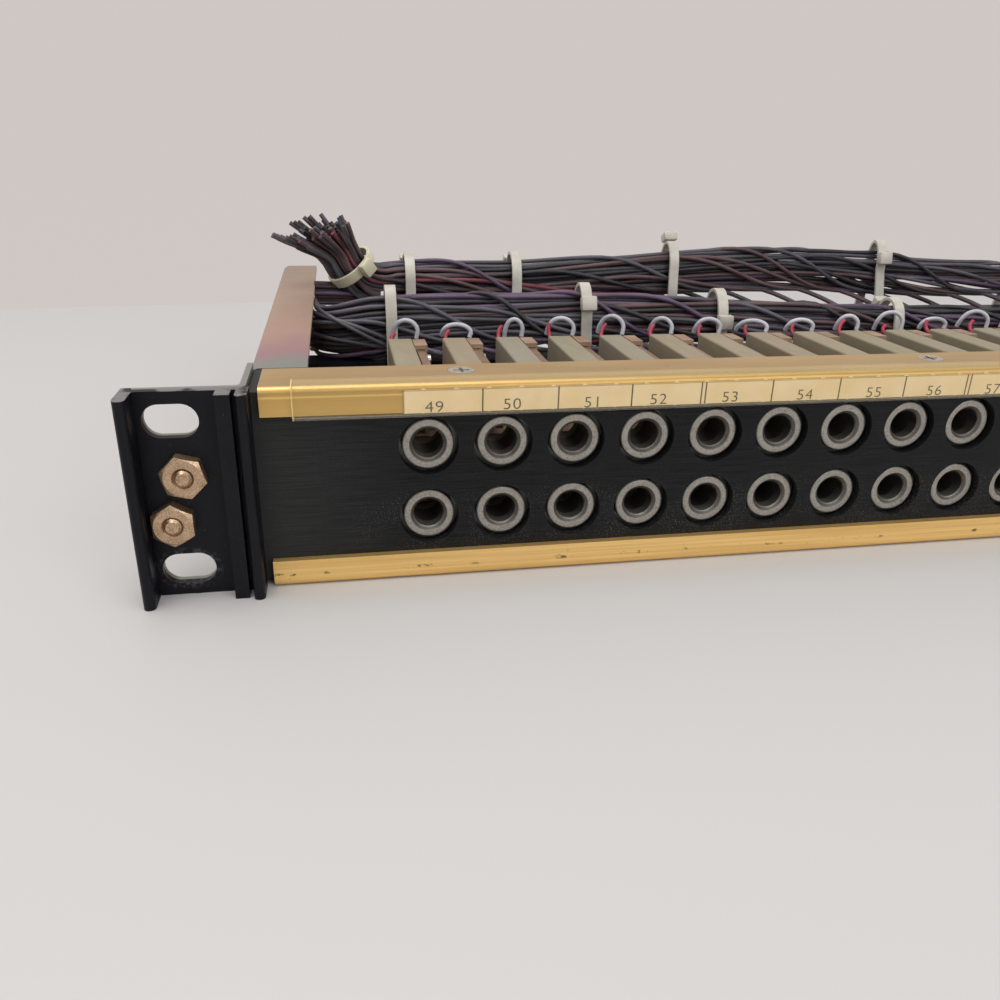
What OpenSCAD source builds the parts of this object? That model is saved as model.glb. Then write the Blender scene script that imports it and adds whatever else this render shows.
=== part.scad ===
// Rack patch bay: a one unit high panel with two rows of quarter inch jacks.
// X runs along the panel, Y to the back and Z up. The origin is the middle of
// the four rack slots, on the front face of the panel.

/* [Rack] */
// Width over both ears
rack_w = 482.6; // [470:0.1:500]
// Height of the ears
ear_h = 43.7; // [43:0.1:46]
// Distance of a slot's middle from the ear's outer edge
slot_inset = 8.75; // [7:0.05:10]
// Slot spacing from top to bottom
slot_span_z = 31.75; // [30:0.05:33]
// Length of a slot
slot_l = 10.6; // [8:0.1:12]
// Width of a slot
slot_w = 6.8; // [6:0.1:7.4]

/* [Jack field] */
// Jacks in a row
columns = 24; // [4:1:25]
// Jack spacing along a row
pitch = 15.875; // [15.5:0.005:16.5]
// Spacing of the two rows
row_gap = 15.875; // [15:0.005:17]

/* [Panel] */
// Height of the panel
panel_h = 41.1; // [40:0.1:41.2]
// Thickness of the panel's front wall
panel_t = 2.5; // [2:0.1:3]
// Depth of the panel's top and bottom flanges
panel_d = 17.5; // [15.5:0.1:22]
// Thickness of those flanges
panel_flange_t = 2; // [1.6:0.1:2.4]
// Diameter of the holes in front of the jacks
panel_hole_d = 12.6; // [12:0.1:13.4]
// Overlap of each ear in front of the panel's end
ear_over = 0.5; // [0.2:0.1:1.5]

/* [Rails] */
// Length of panel left bare beyond each end of a rail
rail_short = 2.1; // [0.5:0.1:6]
// Depth of a rail's flange behind the panel's front face
rail_d = 13.4; // [12.5:0.1:17]
// Thickness of a rail's flange
rail_t = 1.3; // [1:0.1:1.6]
// Reach of a rail in front of the panel
rail_front = 1.7; // [1.5:0.1:3]
// Height of a rail's front
rail_front_h = 6; // [5.4:0.1:7]
// Radius of a rail's outer front edge
rail_edge_r = 1.5; // [0.5:0.1:1.7]
// Distance of the rail screws behind the panel's front face
rail_screw_y = 8.3; // [8.2:0.1:10]

/* [Labels] */
// Length of rail left bare beyond each end of the clear cover
cover_short = 6.3; // [2:0.1:20]
// Wall of the clear cover
cover_t = 0.5; // [0.3:0.05:0.7]
// Height of the paper strip
strip_h = 4.8; // [3:0.1:4.9]
// Thickness of the paper strip
strip_t = 0.25; // [0.2:0.01:0.4]
// Distance that the strip has slipped to the right
strip_shift = 2.75; // [-10:0.05:10]
// Gap round the sliding strip and cover
slide_gap = 0.3; // [0.2:0.05:0.4]

/* [Ears] */
// Width of an ear
ear_w = 23.8; // [22:0.1:26]
// Front of the ear's web, ahead of the panel's front face
web_front = 2; // [1.8:0.1:3]
// Back of the ear's web, ahead of the panel's front face
web_back = 0.25; // [0.2:0.05:0.5]
// Width of the outer lip
lip_w = 2.4; // [1.8:0.1:3]
// Front of the outer lip, ahead of the panel's front face
lip_front = 8.4; // [6:0.1:10]
// Width of the step beside the rib
step_w = 2.9; // [2:0.1:3.5]
// Front of the step, ahead of the panel's front face
step_front = 5.6; // [3:0.1:7]
// Width of the groove between the step and the rib
ear_groove_w = 0.9; // [0.5:0.1:1.5]
// Width of the rounded rib at the inner edge
rib_w = 2.3; // [1.8:0.1:3]
// Front of the rib, ahead of the panel's front face
rib_front = 6.9; // [5.5:0.1:8]

/* [Brackets] */
// Thickness of the bracket sheet
sheet_t = 1.2; // [1:0.1:1.6]
// Back end of a bracket
bracket_d = 178; // [165:1:220]
// Width of the flanges along the top and bottom
bracket_flange_w = 12.5; // [6:0.5:14]
// Start of those flanges
bracket_flange_y = 19; // [18.5:0.5:40]
// Gap between a bracket and the panel's end
bracket_gap = 0.2; // [0.1:0.05:0.4]

/* [Jacks] */
// Depth of the bushing behind the panel's front face
nose_y = 1.3; // [0.5:0.1:2]
// Diameter of the bushing's head
head_d = 11.1; // [10:0.1:11.6]
// Diameter of the plug bore
bore_d = 6.5; // [6.4:0.05:6.7]
// Diameter of the bushing's shank
shank_d = 9; // [8.2:0.1:9.6]
// Front of the mounting plate
plate_y = 5; // [4.6:0.1:6]
// Thickness of the mounting plate
plate_t = 1.5; // [1:0.1:2]
// Width and height of a frame's front block
block_w = 12.4; // [11.4:0.1:13]
// Length of the front block
block_l = 27.5; // [26:0.5:32]
// Width of a frame's bar
bar_w = 7; // [6:0.1:7.4]
// Height of a frame's bar
bar_h = 10.6; // [9.6:0.1:11.4]
// Back end of a frame's bar
bar_end = 79; // [70:0.5:85]
// Thickness of a contact leaf
leaf_t = 0.4; // [0.3:0.05:0.5]
// Width of a contact leaf
leaf_w = 2.2; // [1.6:0.1:2.6]
// Length of an insulator
insulator_l = 8; // [6:0.5:10]

/* [Harness] */
// Diameter of one cable
cable_d = 2.6; // [2:0.1:3]
// Centre of the front bundle behind the panel
front_bundle_y = 101; // [98:0.5:106]
// Centre of the rear bundle behind the panel
rear_bundle_y = 141; // [134:0.5:150]
// Width of a cable tie
tie_w = 3.4; // [2.4:0.1:5]
// Thickness of a cable tie
tie_t = 1.1; // [0.8:0.1:1.5]
// Width of a lacing bar
bar_y = 12; // [10:0.5:14]

/* [Hidden] */
$fn = 48;

// A cut that runs well past a face, one that runs just past it, and the gap at a thread
past = 1;
skim = 0.01;
thread_gap = 0.05;
// Widths along X, from the middle out
half_w = rack_w / 2;
slot_x = half_w - slot_inset;
ear_in = half_w - ear_w;
panel_half = ear_in + ear_over;
rail_half = panel_half - rail_short;
cover_half = rail_half - cover_short;
web_in = panel_half + bracket_gap;
web_out = web_in + sheet_t;
bend_r = sheet_t;
hook_w = 1.9;
hook_gap = 0.2;
flange_out = half_w - hook_w - hook_gap;

// Heights from the middle up
panel_top = panel_h / 2;
panel_in = panel_top - panel_flange_t;
rail_top = panel_top + rail_t;
rail_low = rail_top - rail_front_h;
strip_low = rail_low;
bracket_top = panel_top;

// Layers ahead of the rail: gap, strip, gap and cover
strip_front = rail_front + slide_gap + strip_t;
cover_in = strip_front + slide_gap;
cover_front = cover_in + cover_t;
cover_low = rail_low - slide_gap;
cover_edge_r = 1;
cover_hook = 2.2;

strip_len = columns * pitch;

// Countersunk rail screws, at steps of the jack spacing from the middle
rail_screw_steps = [-11, -4, 4, 11];
rail_screw_r = 1.5;
rail_screw_head_r = 2.9;
rail_screw_gap = 0.1;
rail_recess_l = 3.5;
screw_slot = 0.7;

// Groove in the panel that holds the mounting plate, and the ports for the end screws
plate_groove = 0.8;
plate_gap = 0.15;
port_r = 2.6;
port_bore_r = 1.5;
port_edge = 1.1;
port_y = panel_d - port_r - port_edge;
port_sink = 0.5;
port_z = panel_in - port_sink;
end_screw_l = 9;
end_screw_r = port_bore_r - thread_gap;
end_head_r = 2.6;
end_recess_l = 3.8;

// Studs that hold each ear, from the middle of its two slots, outwards and up, and how far the nut is turned
stud_places = [[-1.4, 4.9, 15], [1.7, -5.2, 30]];
stud_r = 1.75;
stud_gap = 0.2;
stud_head_r = 2.8;
stud_head_l = 0.8;
nut_flats = 7.94;
nut_h = 2.8;
nut_edge = 0.45;
nut_sink = 0.35;
stud_proud = 0.5;
stud_edge = 0.5;

// Bushing
lip_r = 0.5;
lead_in = 0.75;
relief = 0.3;
guide_inset = 0.2;
guide_y = nose_y + lead_in;
guide_end = plate_y - guide_inset;
shank_l = 5.5;
shank_end = plate_y + plate_t + shank_l;
shank_gap = 0.1;

// Frame, from the jack's axis
block_y = plate_y + plate_t;
block_end = block_y + block_l;
chamber_gap = 0.45;
chamber_r = bore_d / 2 + chamber_gap;
chamber_wall = 1.2;
chamber_end = block_end - chamber_wall;
chamber_front = 8.5;
cavity_y = block_y + chamber_front;
cavity_x = -1.6;
cavity_wall = 0.8;
cavity_h = block_w - 2 * cavity_wall;
bar_edge_r = 0.6;

// Contact leaves, from the jack's axis
leaf_gap = 0.6;
leaf_x = bar_w / 2 + leaf_gap;
leaf_lift = 0.35;
leaf_z = bore_d / 2 + leaf_lift;
normal_gap = 0.5;
normal_z = leaf_z - normal_gap - leaf_t;
lug_l = 5;
lug_end = bar_end + lug_l;
lug_hole_r = 0.5;
lug_hole_edge = 1.4;
normal_start = 2;
normal_front = block_end + normal_start;
normal_short = 2;
finger_w = 4;
finger_x = -1.1;
tip_back = 8.5;
ring_back = 15;
finger_tip_y = block_end - tip_back;
finger_ring_y = block_end - ring_back;
bump_drop = 1.2;
bump_r = 1.4;
swing_gap = 0.15;
insulator_edge = 1;
insulator_end = bar_end - insulator_edge;
hinge_y = insulator_end - insulator_l / 2;
insulator_wall = 0.8;
insulator_w = leaf_gap + leaf_w + insulator_wall;
insulator_screw_r = 1.1;
insulator_screw_gap = 0.05;
insulator_head_r = 1.8;
insulator_head_l = 1.2;
insulator_screw_l = 5;

// Leads at the back of a jack
lead_r = 0.6;
lead_bend = 4;
lead_gap = 0.3;
lead_seat = 0.1;
lead_run = 1;
lead_drop = 1;
sleeve_r = 0.9;
sleeve_bend = 3;
sleeve_turn = 150;
sleeve_in = 1;

// Lacing bars and bundles
lacing_t = 1.5;
front_lacing_z = 2.4;
rear_lacing_z = 8;
lacing_tab = 12;
lacing_gap = 0.1;
lacing_screw_r = 1.5;
lacing_head_r = 2.7;
lacing_head_l = 1.8;
cable_r = cable_d / 2;
cable_fill = 0.78;
front_tall = 1.42;
rear_tall = 1;
round_x = -201;
round_run = 12;
bundle_lobes = 7;
bundle_sides = 14;
bundle_steps = 3;
bundle_wave = 0.07;
bundle_twist = 150;
tie_gap = 0.45;
tie_head = 5;
tie_head_h = 3.4;
tie_head_sink = 0.3;
tie_head_turn = 35;
fan_head_turn = 130;
// Ties: the jack that each stands beside, counted from 0, and its distance to the right of it
front_tie_places = [[0, -1.2], [4, -3], [7, -4.5], [11, -3], [15, -3], [19, -3], [22, -3]];
fan_tie_at = 16;
rear_tie_places = [[0, 8], [3, -2], [6, 9], [9, 9], [12, -1.5], [16, -2], [20, -2]];

// Cables from the jacks to the bundles
drop_rings = 7;
drop_sides = 6;
drop_gap = 0.4;
drop_angle = 40;
drop_in = [0, 8, 5];
upper_drop_lean = 2;
upper_drop_out = 7;
lower_drop_lean = 4;
lower_drop_out = 34;
drop_ends = [-180, 175];

// Cut cables at the left end of each bundle
cut_count = 16;
cut_sides = 6;
cut_rings = 5;
cut_r = 1;
cut_edge = 0.6;
cut_gap = 0.35;
cut_vary = 0.2;
front_cut_reach = 11;
front_cut_rise = 0;
front_cut_spread = 0.1;
rear_cut_reach = 15;
rear_cut_rise = 0;
rear_cut_spread = 0.6;
golden_turn = 137.5;

// Middle lines of the bundles: X, distance behind the bundle's own Y, and Z
front_route = [[176, -2, 12], [150, 0, 12], [120, 1, 12.5], [90, 0, 12.5], [60, -1, 13], [30, 0, 13.5],
  [0, 1, 14], [-30, 0, 14], [-60, 0, 14.5], [-90, 0, 14.7], [-120, 0, 14.3], [-145, 0, 13.8],
  [-165, 0, 13.8], [-182, 0, 13.8], [-191, 0.3, 13.2], [-199, 3, 11.8], [-204, 8.5, 11.2],
  [-205.5, 16, 11.2]];
rear_route = [[178, -4, 19], [150, -1, 21], [120, 0, 22], [90, 1, 22], [60, 0, 22], [30, 0, 23],
  [0, 1, 24], [-25, 0, 25.5], [-50, 0, 25.5], [-80, 0, 23], [-112, 0, 22], [-137, 0, 21.5],
  [-160, 0, 21.2], [-178, 0, 20.3], [-186, -2.5, 20], [-192.5, -6.5, 21.5], [-197, -9.5, 25.5],
  [-200, -11.5, 30]];

function jack_x(i) = (i - (columns - 1) / 2) * pitch;
function jack_z(row) = row * row_gap / 2;
function unit(v) = v / norm(v);

// Cables that have joined a bundle by the time it reaches x, and the bundle's radius there
function joined(x) = max(1, len([for (i = [0 : columns - 1]) if (jack_x(i) >= x - pitch) i]));
function bundle_r(x) = cable_r * sqrt(max(joined(x), 3) / cable_fill);
// How much higher than round a bundle is, which fades to nothing at its left end, and its half sizes
function bundle_tall(x, tall) = 1 + (tall - 1) * max(0, min(1, (x - round_x) / round_run));
function bundle_size(x, tall) = bundle_r(x) * [1 / bundle_tall(x, tall), bundle_tall(x, tall)];

// A point on a smooth curve through the points p, at t from 0 to len(p) - 1
function knot(p, i) = p[max(0, min(len(p) - 1, i))];
function through(p, t) =
  let (i = min(floor(t), len(p) - 2), f = t - i)
  let (a = knot(p, i - 1), b = knot(p, i), c = knot(p, i + 1), d = knot(p, i + 2))
  0.5 * (2 * b + (c - a) * f + (2 * a - 5 * b + 4 * c - d) * f * f + (3 * b - a - 3 * c + d) * f * f * f);
function bezier(p, t) =
  let (s = 1 - t)
  s * s * s * p[0] + 3 * s * s * t * p[1] + 3 * s * t * t * p[2] + t * t * t * p[3];

function bundle_path(route, y) =
  [for (k = [0 : (len(route) - 1) * bundle_steps]) through(route, k / bundle_steps) + [0, y, 0]];
// The height of a bundle's middle at a given X
function route_at(route, x) =
  let (n = [for (i = [0 : len(route) - 2]) if (route[i][0] >= x && route[i + 1][0] <= x) i][0])
  let (f = (route[n][0] - x) / (route[n][0] - route[n + 1][0]))
  through(route, n + f);

// A closed tube along path, with half its depth and height for each point and an optional wavy outline
module sweep(path, halves, sides, up, lobes = 0, wave = 0, twist = 0) {
  n = len(path);
  ahead = [for (i = [0 : n - 1]) unit(path[min(i + 1, n - 1)] - path[max(i - 1, 0)])];
  points = [
    for (i = [0 : n - 1])
      let (side = unit(cross(ahead[i], up)), top = cross(side, ahead[i]))
      for (k = [0 : sides - 1])
        let (a = 360 * k / sides, turn = a + twist * i / n, r = 1 + wave * cos(lobes * a))
        path[i] + r * (halves[i][0] * cos(turn) * side + halves[i][1] * sin(turn) * top)
  ];
  walls = [
    for (i = [0 : n - 2], k = [0 : sides - 1])
      let (a = i * sides + k, b = i * sides + (k + 1) % sides)
      for (f = [[a, b, b + sides], [a, b + sides, a + sides]]) f
  ];
  first = [for (k = [1 : sides - 2]) [0, k + 1, k]];
  last = [for (k = [1 : sides - 2]) (n - 1) * sides * [1, 1, 1] + [0, k, k + 1]];
  polyhedron(points, concat(walls, first, last));
}

// Copies of a child at every jack of a row, which is 1 for the upper and -1 for the lower
module at_jacks(row) {
  for (i = [0 : columns - 1])
    translate([jack_x(i), 0, jack_z(row)])
      children();
}

// The child on the left, and its mirror image on the right
module on_side(side) {
  mirror([side > 0 ? 1 : 0, 0, 0])
    children();
}

// A profile drawn in Y and Z, extruded along X about the middle
module along_x(length) {
  rotate([90, 0, 90])
    linear_extrude(height = length, center = true)
      children();
}

// A solid of revolution drawn as radius and Y, about an axis along Y
module about_y() {
  rotate([-90, 0, 0])
    rotate_extrude()
      children();
}

// A cylinder along Y from y0 to y1
module rod_y(r, y0, y1) {
  translate([0, y0, 0])
    rotate([-90, 0, 0])
      cylinder(r = r, h = y1 - y0);
}

// A cylinder along X from x0 to x1
module rod_x(r, x0, x1) {
  translate([x0, 0, 0])
    rotate([0, 90, 0])
      cylinder(r = r, h = x1 - x0);
}

// A box from its lowest to its highest corner
module box(low, high) {
  translate(low)
    cube(high - low);
}

module rect(low, high) {
  translate(low)
    square(high - low);
}

// A rectangle with round corners
module round_rect(low, high, r) {
  rect(low + [r, 0], high - [r, 0]);
  rect(low + [0, r], high - [0, r]);
  for (x = [low[0] + r, high[0] - r], y = [low[1] + r, high[1] - r])
    translate([x, y])
      circle(r);
}

module slot_cut(front, back) {
  for (x = [-1, 1] * (slot_l - slot_w) / 2)
    translate([x, 0, 0])
      rod_y(slot_w / 2, front, back);
  box([-(slot_l - slot_w) / 2, front, -slot_w / 2], [(slot_l - slot_w) / 2, back, slot_w / 2]);
}

// Both slots of the left ear
module ear_slots(front, back) {
  for (z = [-1, 1] * slot_span_z / 2)
    translate([-slot_x, 0, z])
      slot_cut(front, back);
}

// Copies of a child at the studs of the left ear
module at_studs() {
  for (p = stud_places)
    translate([-slot_x - p[0], 0, p[1]])
      rotate([0, p[2], 0])
        children();
}

module panel_profile() {
  difference() {
    union() {
      rect([0, -panel_top], [panel_t, panel_top]);
      for (s = [-1, 1])
        mirror([0, s < 0 ? 1 : 0]) {
          rect([0, panel_in], [panel_d, panel_top]);
          intersection() {
            translate([port_y, port_z])
              circle(port_r);
            rect([0, 0], [panel_d, panel_top]);
          }
        }
    }
    for (s = [-1, 1])
      mirror([0, s < 0 ? 1 : 0]) {
        rect([plate_y - plate_gap, 0], [plate_y + plate_t + plate_gap, panel_in + plate_groove]);
        translate([port_y, port_z])
          circle(port_bore_r);
      }
  }
}

module front_panel() {
  color([0.06, 0.06, 0.07])
    difference() {
      along_x(2 * panel_half)
        panel_profile();
      for (row = [-1, 1])
        at_jacks(row)
          rod_y(panel_hole_d / 2, -past, panel_t + past);
      for (s = [-1, 1], k = rail_screw_steps)
        translate([k * pitch, rail_screw_y, s * (panel_in + panel_flange_t / 2)])
          cylinder(r = rail_screw_r + rail_screw_gap, h = panel_flange_t + 2 * skim, center = true);
    }
}

module jack_plate() {
  plate_top = panel_in + plate_groove - plate_gap;
  color([0.75, 0.73, 0.66])
    difference() {
      box([-panel_half, plate_y, -plate_top], [panel_half, plate_y + plate_t, plate_top]);
      for (row = [-1, 1])
        at_jacks(row)
          rod_y(shank_d / 2 + shank_gap, plate_y - past, plate_y + plate_t + past);
    }
}

// Section of the top rail
module rail_profile() {
  rect([-rail_front + rail_edge_r, panel_top], [rail_d, rail_top]);
  rect([-rail_front + rail_edge_r, rail_low], [0, rail_top]);
  rect([-rail_front, rail_low], [0, rail_top - rail_edge_r]);
  intersection() {
    translate([-rail_front + rail_edge_r, rail_top - rail_edge_r])
      circle(rail_edge_r);
    rect([-rail_front, rail_low], [-rail_front + rail_edge_r, rail_top]);
  }
}

// Space for the top rail's screws, with their countersinks
module rail_screw_space(gap) {
  for (k = rail_screw_steps)
    translate([k * pitch, rail_screw_y, 0]) {
      translate([0, 0, panel_top - past])
        cylinder(r = rail_screw_r + gap, h = rail_t + 2 * past);
      translate([0, 0, panel_top])
        cylinder(r1 = rail_screw_r + gap, r2 = rail_screw_head_r + gap, h = rail_t);
    }
}

module rail() {
  color([0.78, 0.6, 0.28])
    difference() {
      along_x(2 * rail_half)
        rail_profile();
      rail_screw_space(rail_screw_gap);
    }
}

module top_rail() {
  rail();
}

module bottom_rail() {
  mirror([0, 0, 1])
    rail();
}

module rail_screws() {
  color([0.72, 0.7, 0.66])
    for (k = rail_screw_steps)
      translate([k * pitch, rail_screw_y, 0])
        difference() {
          union() {
            translate([0, 0, panel_in])
              cylinder(r = rail_screw_r, h = panel_flange_t);
            translate([0, 0, panel_top])
              cylinder(r1 = rail_screw_r, r2 = rail_screw_head_r, h = rail_t);
          }
          for (turn = [0, 90])
            rotate([0, 0, turn])
              translate([0, 0, rail_top])
                cube([rail_recess_l, screw_slot, rail_t], center = true);
        }
}

module top_rail_screws() {
  rail_screws();
}

module bottom_rail_screws() {
  mirror([0, 0, 1])
    rail_screws();
}

// Clear cover that hooks over the rail's top edge and under its front
module label_cover() {
  cover_top = rail_top + slide_gap;
  color([0.93, 0.88, 0.68, 0.45])
    along_x(2 * cover_half)
      difference() {
        round_rect([-cover_front, cover_low - cover_t], [cover_hook, cover_top + cover_t], cover_edge_r);
        rect([-cover_in, cover_low], [cover_hook + past, cover_top]);
        rect([-rail_front / 2, 0], [cover_hook + past, cover_low + past]);
      }
}

module label_strip() {
  color([0.9, 0.8, 0.58])
    box([strip_shift - strip_len / 2, -strip_front, strip_low],
      [strip_shift + strip_len / 2, -strip_front + strip_t, strip_low + strip_h]);
}

// Section of the left ear, from its outer edge at X = 0 inwards
module ear_profile() {
  rib_x = ear_w - rib_w;
  step_x = rib_x - ear_groove_w - step_w;
  tooth = 0.4;
  difference() {
    union() {
      rect([0, -web_front], [ear_w, -web_back]);
      rect([0, -lip_front + lip_w / 2], [lip_w, -web_back]);
      rect([0, -web_back - past], [hook_w, sheet_t - web_back]);
      translate([lip_w / 2, -lip_front + lip_w / 2])
        circle(lip_w / 2);
      rect([step_x, -step_front], [step_x + step_w, -web_back]);
      rect([rib_x, -rib_front + rib_w / 2], [ear_w, -web_back]);
      translate([ear_w - rib_w / 2, -rib_front + rib_w / 2])
        circle(rib_w / 2);
    }
    for (k = [1 : 2])
      rect([lip_w - tooth, -lip_front + lip_w + k * 3 * tooth],
        [lip_w + past, -lip_front + lip_w + (k * 3 + 1) * tooth]);
  }
}

module ear(side) {
  color([0.05, 0.05, 0.06])
    on_side(side)
      difference() {
        translate([-half_w, 0, 0])
          linear_extrude(height = ear_h, center = true)
            ear_profile();
        ear_slots(-lip_front, past);
        at_studs()
          rod_y(stud_r + stud_gap, -lip_front, past);
      }
}

module left_ear() {
  ear(-1);
}

module right_ear() {
  ear(1);
}

// Sheet bent from the flange behind the ear into the side web
module bracket_profile() {
  back = sheet_t - web_back;
  difference() {
    union() {
      rect([-flange_out, -web_back], [-web_in, back]);
      rect([-web_out, -web_back], [-web_in, bracket_flange_y]);
      rect([-web_out - bend_r, back - past], [-web_out, back + bend_r]);
    }
    translate([-web_out - bend_r, back + bend_r])
      circle(bend_r);
    difference() {
      rect([-web_in - bend_r, -web_back - past], [-web_in + past, -web_back + bend_r]);
      translate([-web_in - bend_r, -web_back + bend_r])
        circle(bend_r);
    }
  }
}

// Section behind the panel: the web, a top flange level with the panel and a bottom one level with the ear
module channel_profile() {
  low = [-web_out, -ear_h / 2];
  high = [-web_out + 2 * bracket_flange_w, bracket_top];
  difference() {
    round_rect(low, high, bend_r + sheet_t);
    round_rect(low + [sheet_t, sheet_t], high - [sheet_t, sheet_t], bend_r);
    rect([-web_out + bracket_flange_w, low[1] - past], high + [past, past]);
  }
}

// Countersunk head of a bracket screw, flush with the web, or the space for it
module end_head(gap, over) {
  translate([-web_out, 0, 0])
    rotate([0, 90, 0])
      cylinder(r1 = end_head_r + gap, r2 = end_screw_r + gap, h = sheet_t);
  if (over > 0)
    rod_x(end_head_r + gap, -web_out - over, -web_out + over / 2);
  if (over > 0)
    rod_x(end_screw_r + gap, -web_in - over, -web_in + over);
}

module bracket(side) {
  color([0.78, 0.66, 0.58])
    on_side(side)
      difference() {
        union() {
          linear_extrude(height = ear_h, center = true)
            bracket_profile();
          translate([0, bracket_d, 0])
            rotate([90, 0, 0])
              linear_extrude(height = bracket_d - bracket_flange_y)
                channel_profile();
        }
        ear_slots(-past, past + sheet_t);
        at_studs()
          rod_y(stud_r, -past, past + sheet_t);
        for (s = [-1, 1])
          translate([0, port_y, s * port_z])
            end_head(stud_gap, past);
        for (b = [[front_bundle_y, front_lacing_z], [rear_bundle_y, rear_lacing_z]])
          translate([0, b[0], b[1] - lacing_tab / 2])
            rod_x(lacing_screw_r + stud_gap, -web_out - past, -web_in + past);
      }
}

module left_bracket() {
  bracket(-1);
}

module right_bracket() {
  bracket(1);
}

// Studs pressed into the bracket's flange from behind
module ear_studs() {
  front = -web_front - nut_h - stud_proud;
  back = sheet_t - web_back;
  color([0.72, 0.6, 0.42])
    for (side = [-1, 1])
      on_side(side)
        at_studs()
          about_y()
            polygon([[0, front], [stud_r - stud_edge, front], [stud_r, front + stud_edge], [stud_r, back],
              [stud_head_r, back], [stud_head_r, back + stud_head_l], [0, back + stud_head_l]]);
}

// Hexagon nuts with a round chamfer on the outer face and a countersunk thread
module ear_nuts() {
  corner_r = nut_flats / 2 / cos(30);
  hole_r = stud_r + thread_gap;
  face = -web_front - nut_h;
  color([0.74, 0.6, 0.42])
    for (side = [-1, 1])
      on_side(side)
        at_studs()
          difference() {
            intersection() {
              translate([0, -web_front, 0])
                rotate([90, 0, 0])
                  cylinder(r = corner_r, h = nut_h, $fn = 6);
              about_y()
                polygon([[0, -web_front], [corner_r, -web_front], [corner_r, nut_edge + face],
                  [corner_r - 2 * nut_edge, face], [0, face]]);
            }
            rod_y(hole_r, face - past, -web_front + past);
            about_y()
              polygon([[0, face - past], [hole_r + nut_sink + past, face - past], [hole_r, face + nut_sink],
                [0, face + nut_sink]]);
          }
}

// Screws from outside into the panel's ports
module bracket_screws() {
  color([0.72, 0.7, 0.66])
    for (side = [-1, 1])
      on_side(side)
        for (s = [-1, 1])
          translate([0, port_y, s * port_z])
            difference() {
              union() {
                rod_x(end_screw_r, -web_out + past, -web_out + end_screw_l);
                end_head(0, 0);
              }
              for (turn = [0, 90])
                rotate([turn, 0, 0])
                  translate([-web_out, 0, 0])
                    cube([sheet_t, 2 * screw_slot, end_recess_l], center = true);
            }
}

// Turned bushing: rounded nose, tapered mouth, guide bore and relieved shank
module bushing() {
  head_r = head_d / 2;
  bore_r = bore_d / 2;
  about_y() {
    polygon([[bore_r, guide_y], [bore_r + lead_in, nose_y], [head_r - lip_r, nose_y],
      [head_r, nose_y + lip_r], [head_r, plate_y], [shank_d / 2, plate_y], [shank_d / 2, shank_end],
      [bore_r + relief, shank_end], [bore_r + relief, guide_end], [bore_r, guide_end]]);
    translate([head_r - lip_r, nose_y + lip_r])
      circle(lip_r);
  }
}

module bushings(row) {
  color([0.66, 0.65, 0.62])
    at_jacks(row)
      bushing();
}

module upper_bushings() {
  bushings(1);
}

module lower_bushings() {
  bushings(-1);
}

// Cast frame: a front block with the plug chamber, open on the spring side, and a long bar
module frame() {
  difference() {
    union() {
      box([-block_w / 2, block_y, -block_w / 2], [block_w / 2, block_end, block_w / 2]);
      translate([0, bar_end, 0])
        rotate([90, 0, 0])
          linear_extrude(height = bar_end - block_end + past)
            round_rect([-bar_w, -bar_h] / 2, [bar_w, bar_h] / 2, bar_edge_r);
    }
    rod_y(shank_d / 2 + shank_gap, block_y - past, shank_end + shank_gap);
    rod_y(chamber_r, block_y, chamber_end);
    box([cavity_x, cavity_y, -cavity_h / 2], [block_w, chamber_end, cavity_h / 2]);
    box([bar_w / 2, chamber_end - past, -block_w], [block_w, block_end + past, block_w]);
    translate([0, hinge_y, 0])
      rod_x(insulator_screw_r + insulator_screw_gap, bar_w / 2 - insulator_screw_l, bar_w);
  }
}

module frames(row) {
  color([0.72, 0.67, 0.52])
    at_jacks(row)
      frame();
}

module upper_frames() {
  frames(1);
}

module lower_frames() {
  frames(-1);
}

// One moving leaf above the plug: a long strip, a finger across the plug's path and a solder lug
module spring_leaf(finger_y) {
  top = leaf_z + leaf_t;
  difference() {
    union() {
      box([leaf_x, finger_y - finger_w / 2, leaf_z], [leaf_x + leaf_w, lug_end, top]);
      box([finger_x, finger_y - finger_w / 2, leaf_z], [leaf_x, finger_y + finger_w / 2, top]);
      intersection() {
        translate([0, finger_y, leaf_z - bump_drop + bump_r])
          rod_x(bump_r, finger_x, -finger_x);
        box([finger_x, 0, 0], [-finger_x, bar_end, top]);
      }
    }
    translate([leaf_x + leaf_w / 2, lug_end - lug_hole_edge, 0])
      cylinder(r = lug_hole_r, h = top + past);
  }
}

module tip_springs(row) {
  color([0.72, 0.55, 0.36])
    at_jacks(row)
      spring_leaf(finger_tip_y);
}

module ring_springs(row) {
  color([0.72, 0.55, 0.36])
    at_jacks(row)
      mirror([0, 0, 1])
        spring_leaf(finger_ring_y);
}

module upper_tip_springs() {
  tip_springs(1);
}

module lower_tip_springs() {
  tip_springs(-1);
}

module upper_ring_springs() {
  ring_springs(1);
}

module lower_ring_springs() {
  ring_springs(-1);
}

// Fixed contacts that the two springs rest against while no plug is in
module normals(row) {
  color([0.68, 0.5, 0.32])
    at_jacks(row)
      for (s = [-1, 1])
        mirror([0, 0, s < 0 ? 1 : 0])
          box([leaf_x, normal_front, normal_z],
            [leaf_x + leaf_w, lug_end - normal_short, normal_z + leaf_t]);
}

module upper_normals() {
  normals(1);
}

module lower_normals() {
  normals(-1);
}

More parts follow.
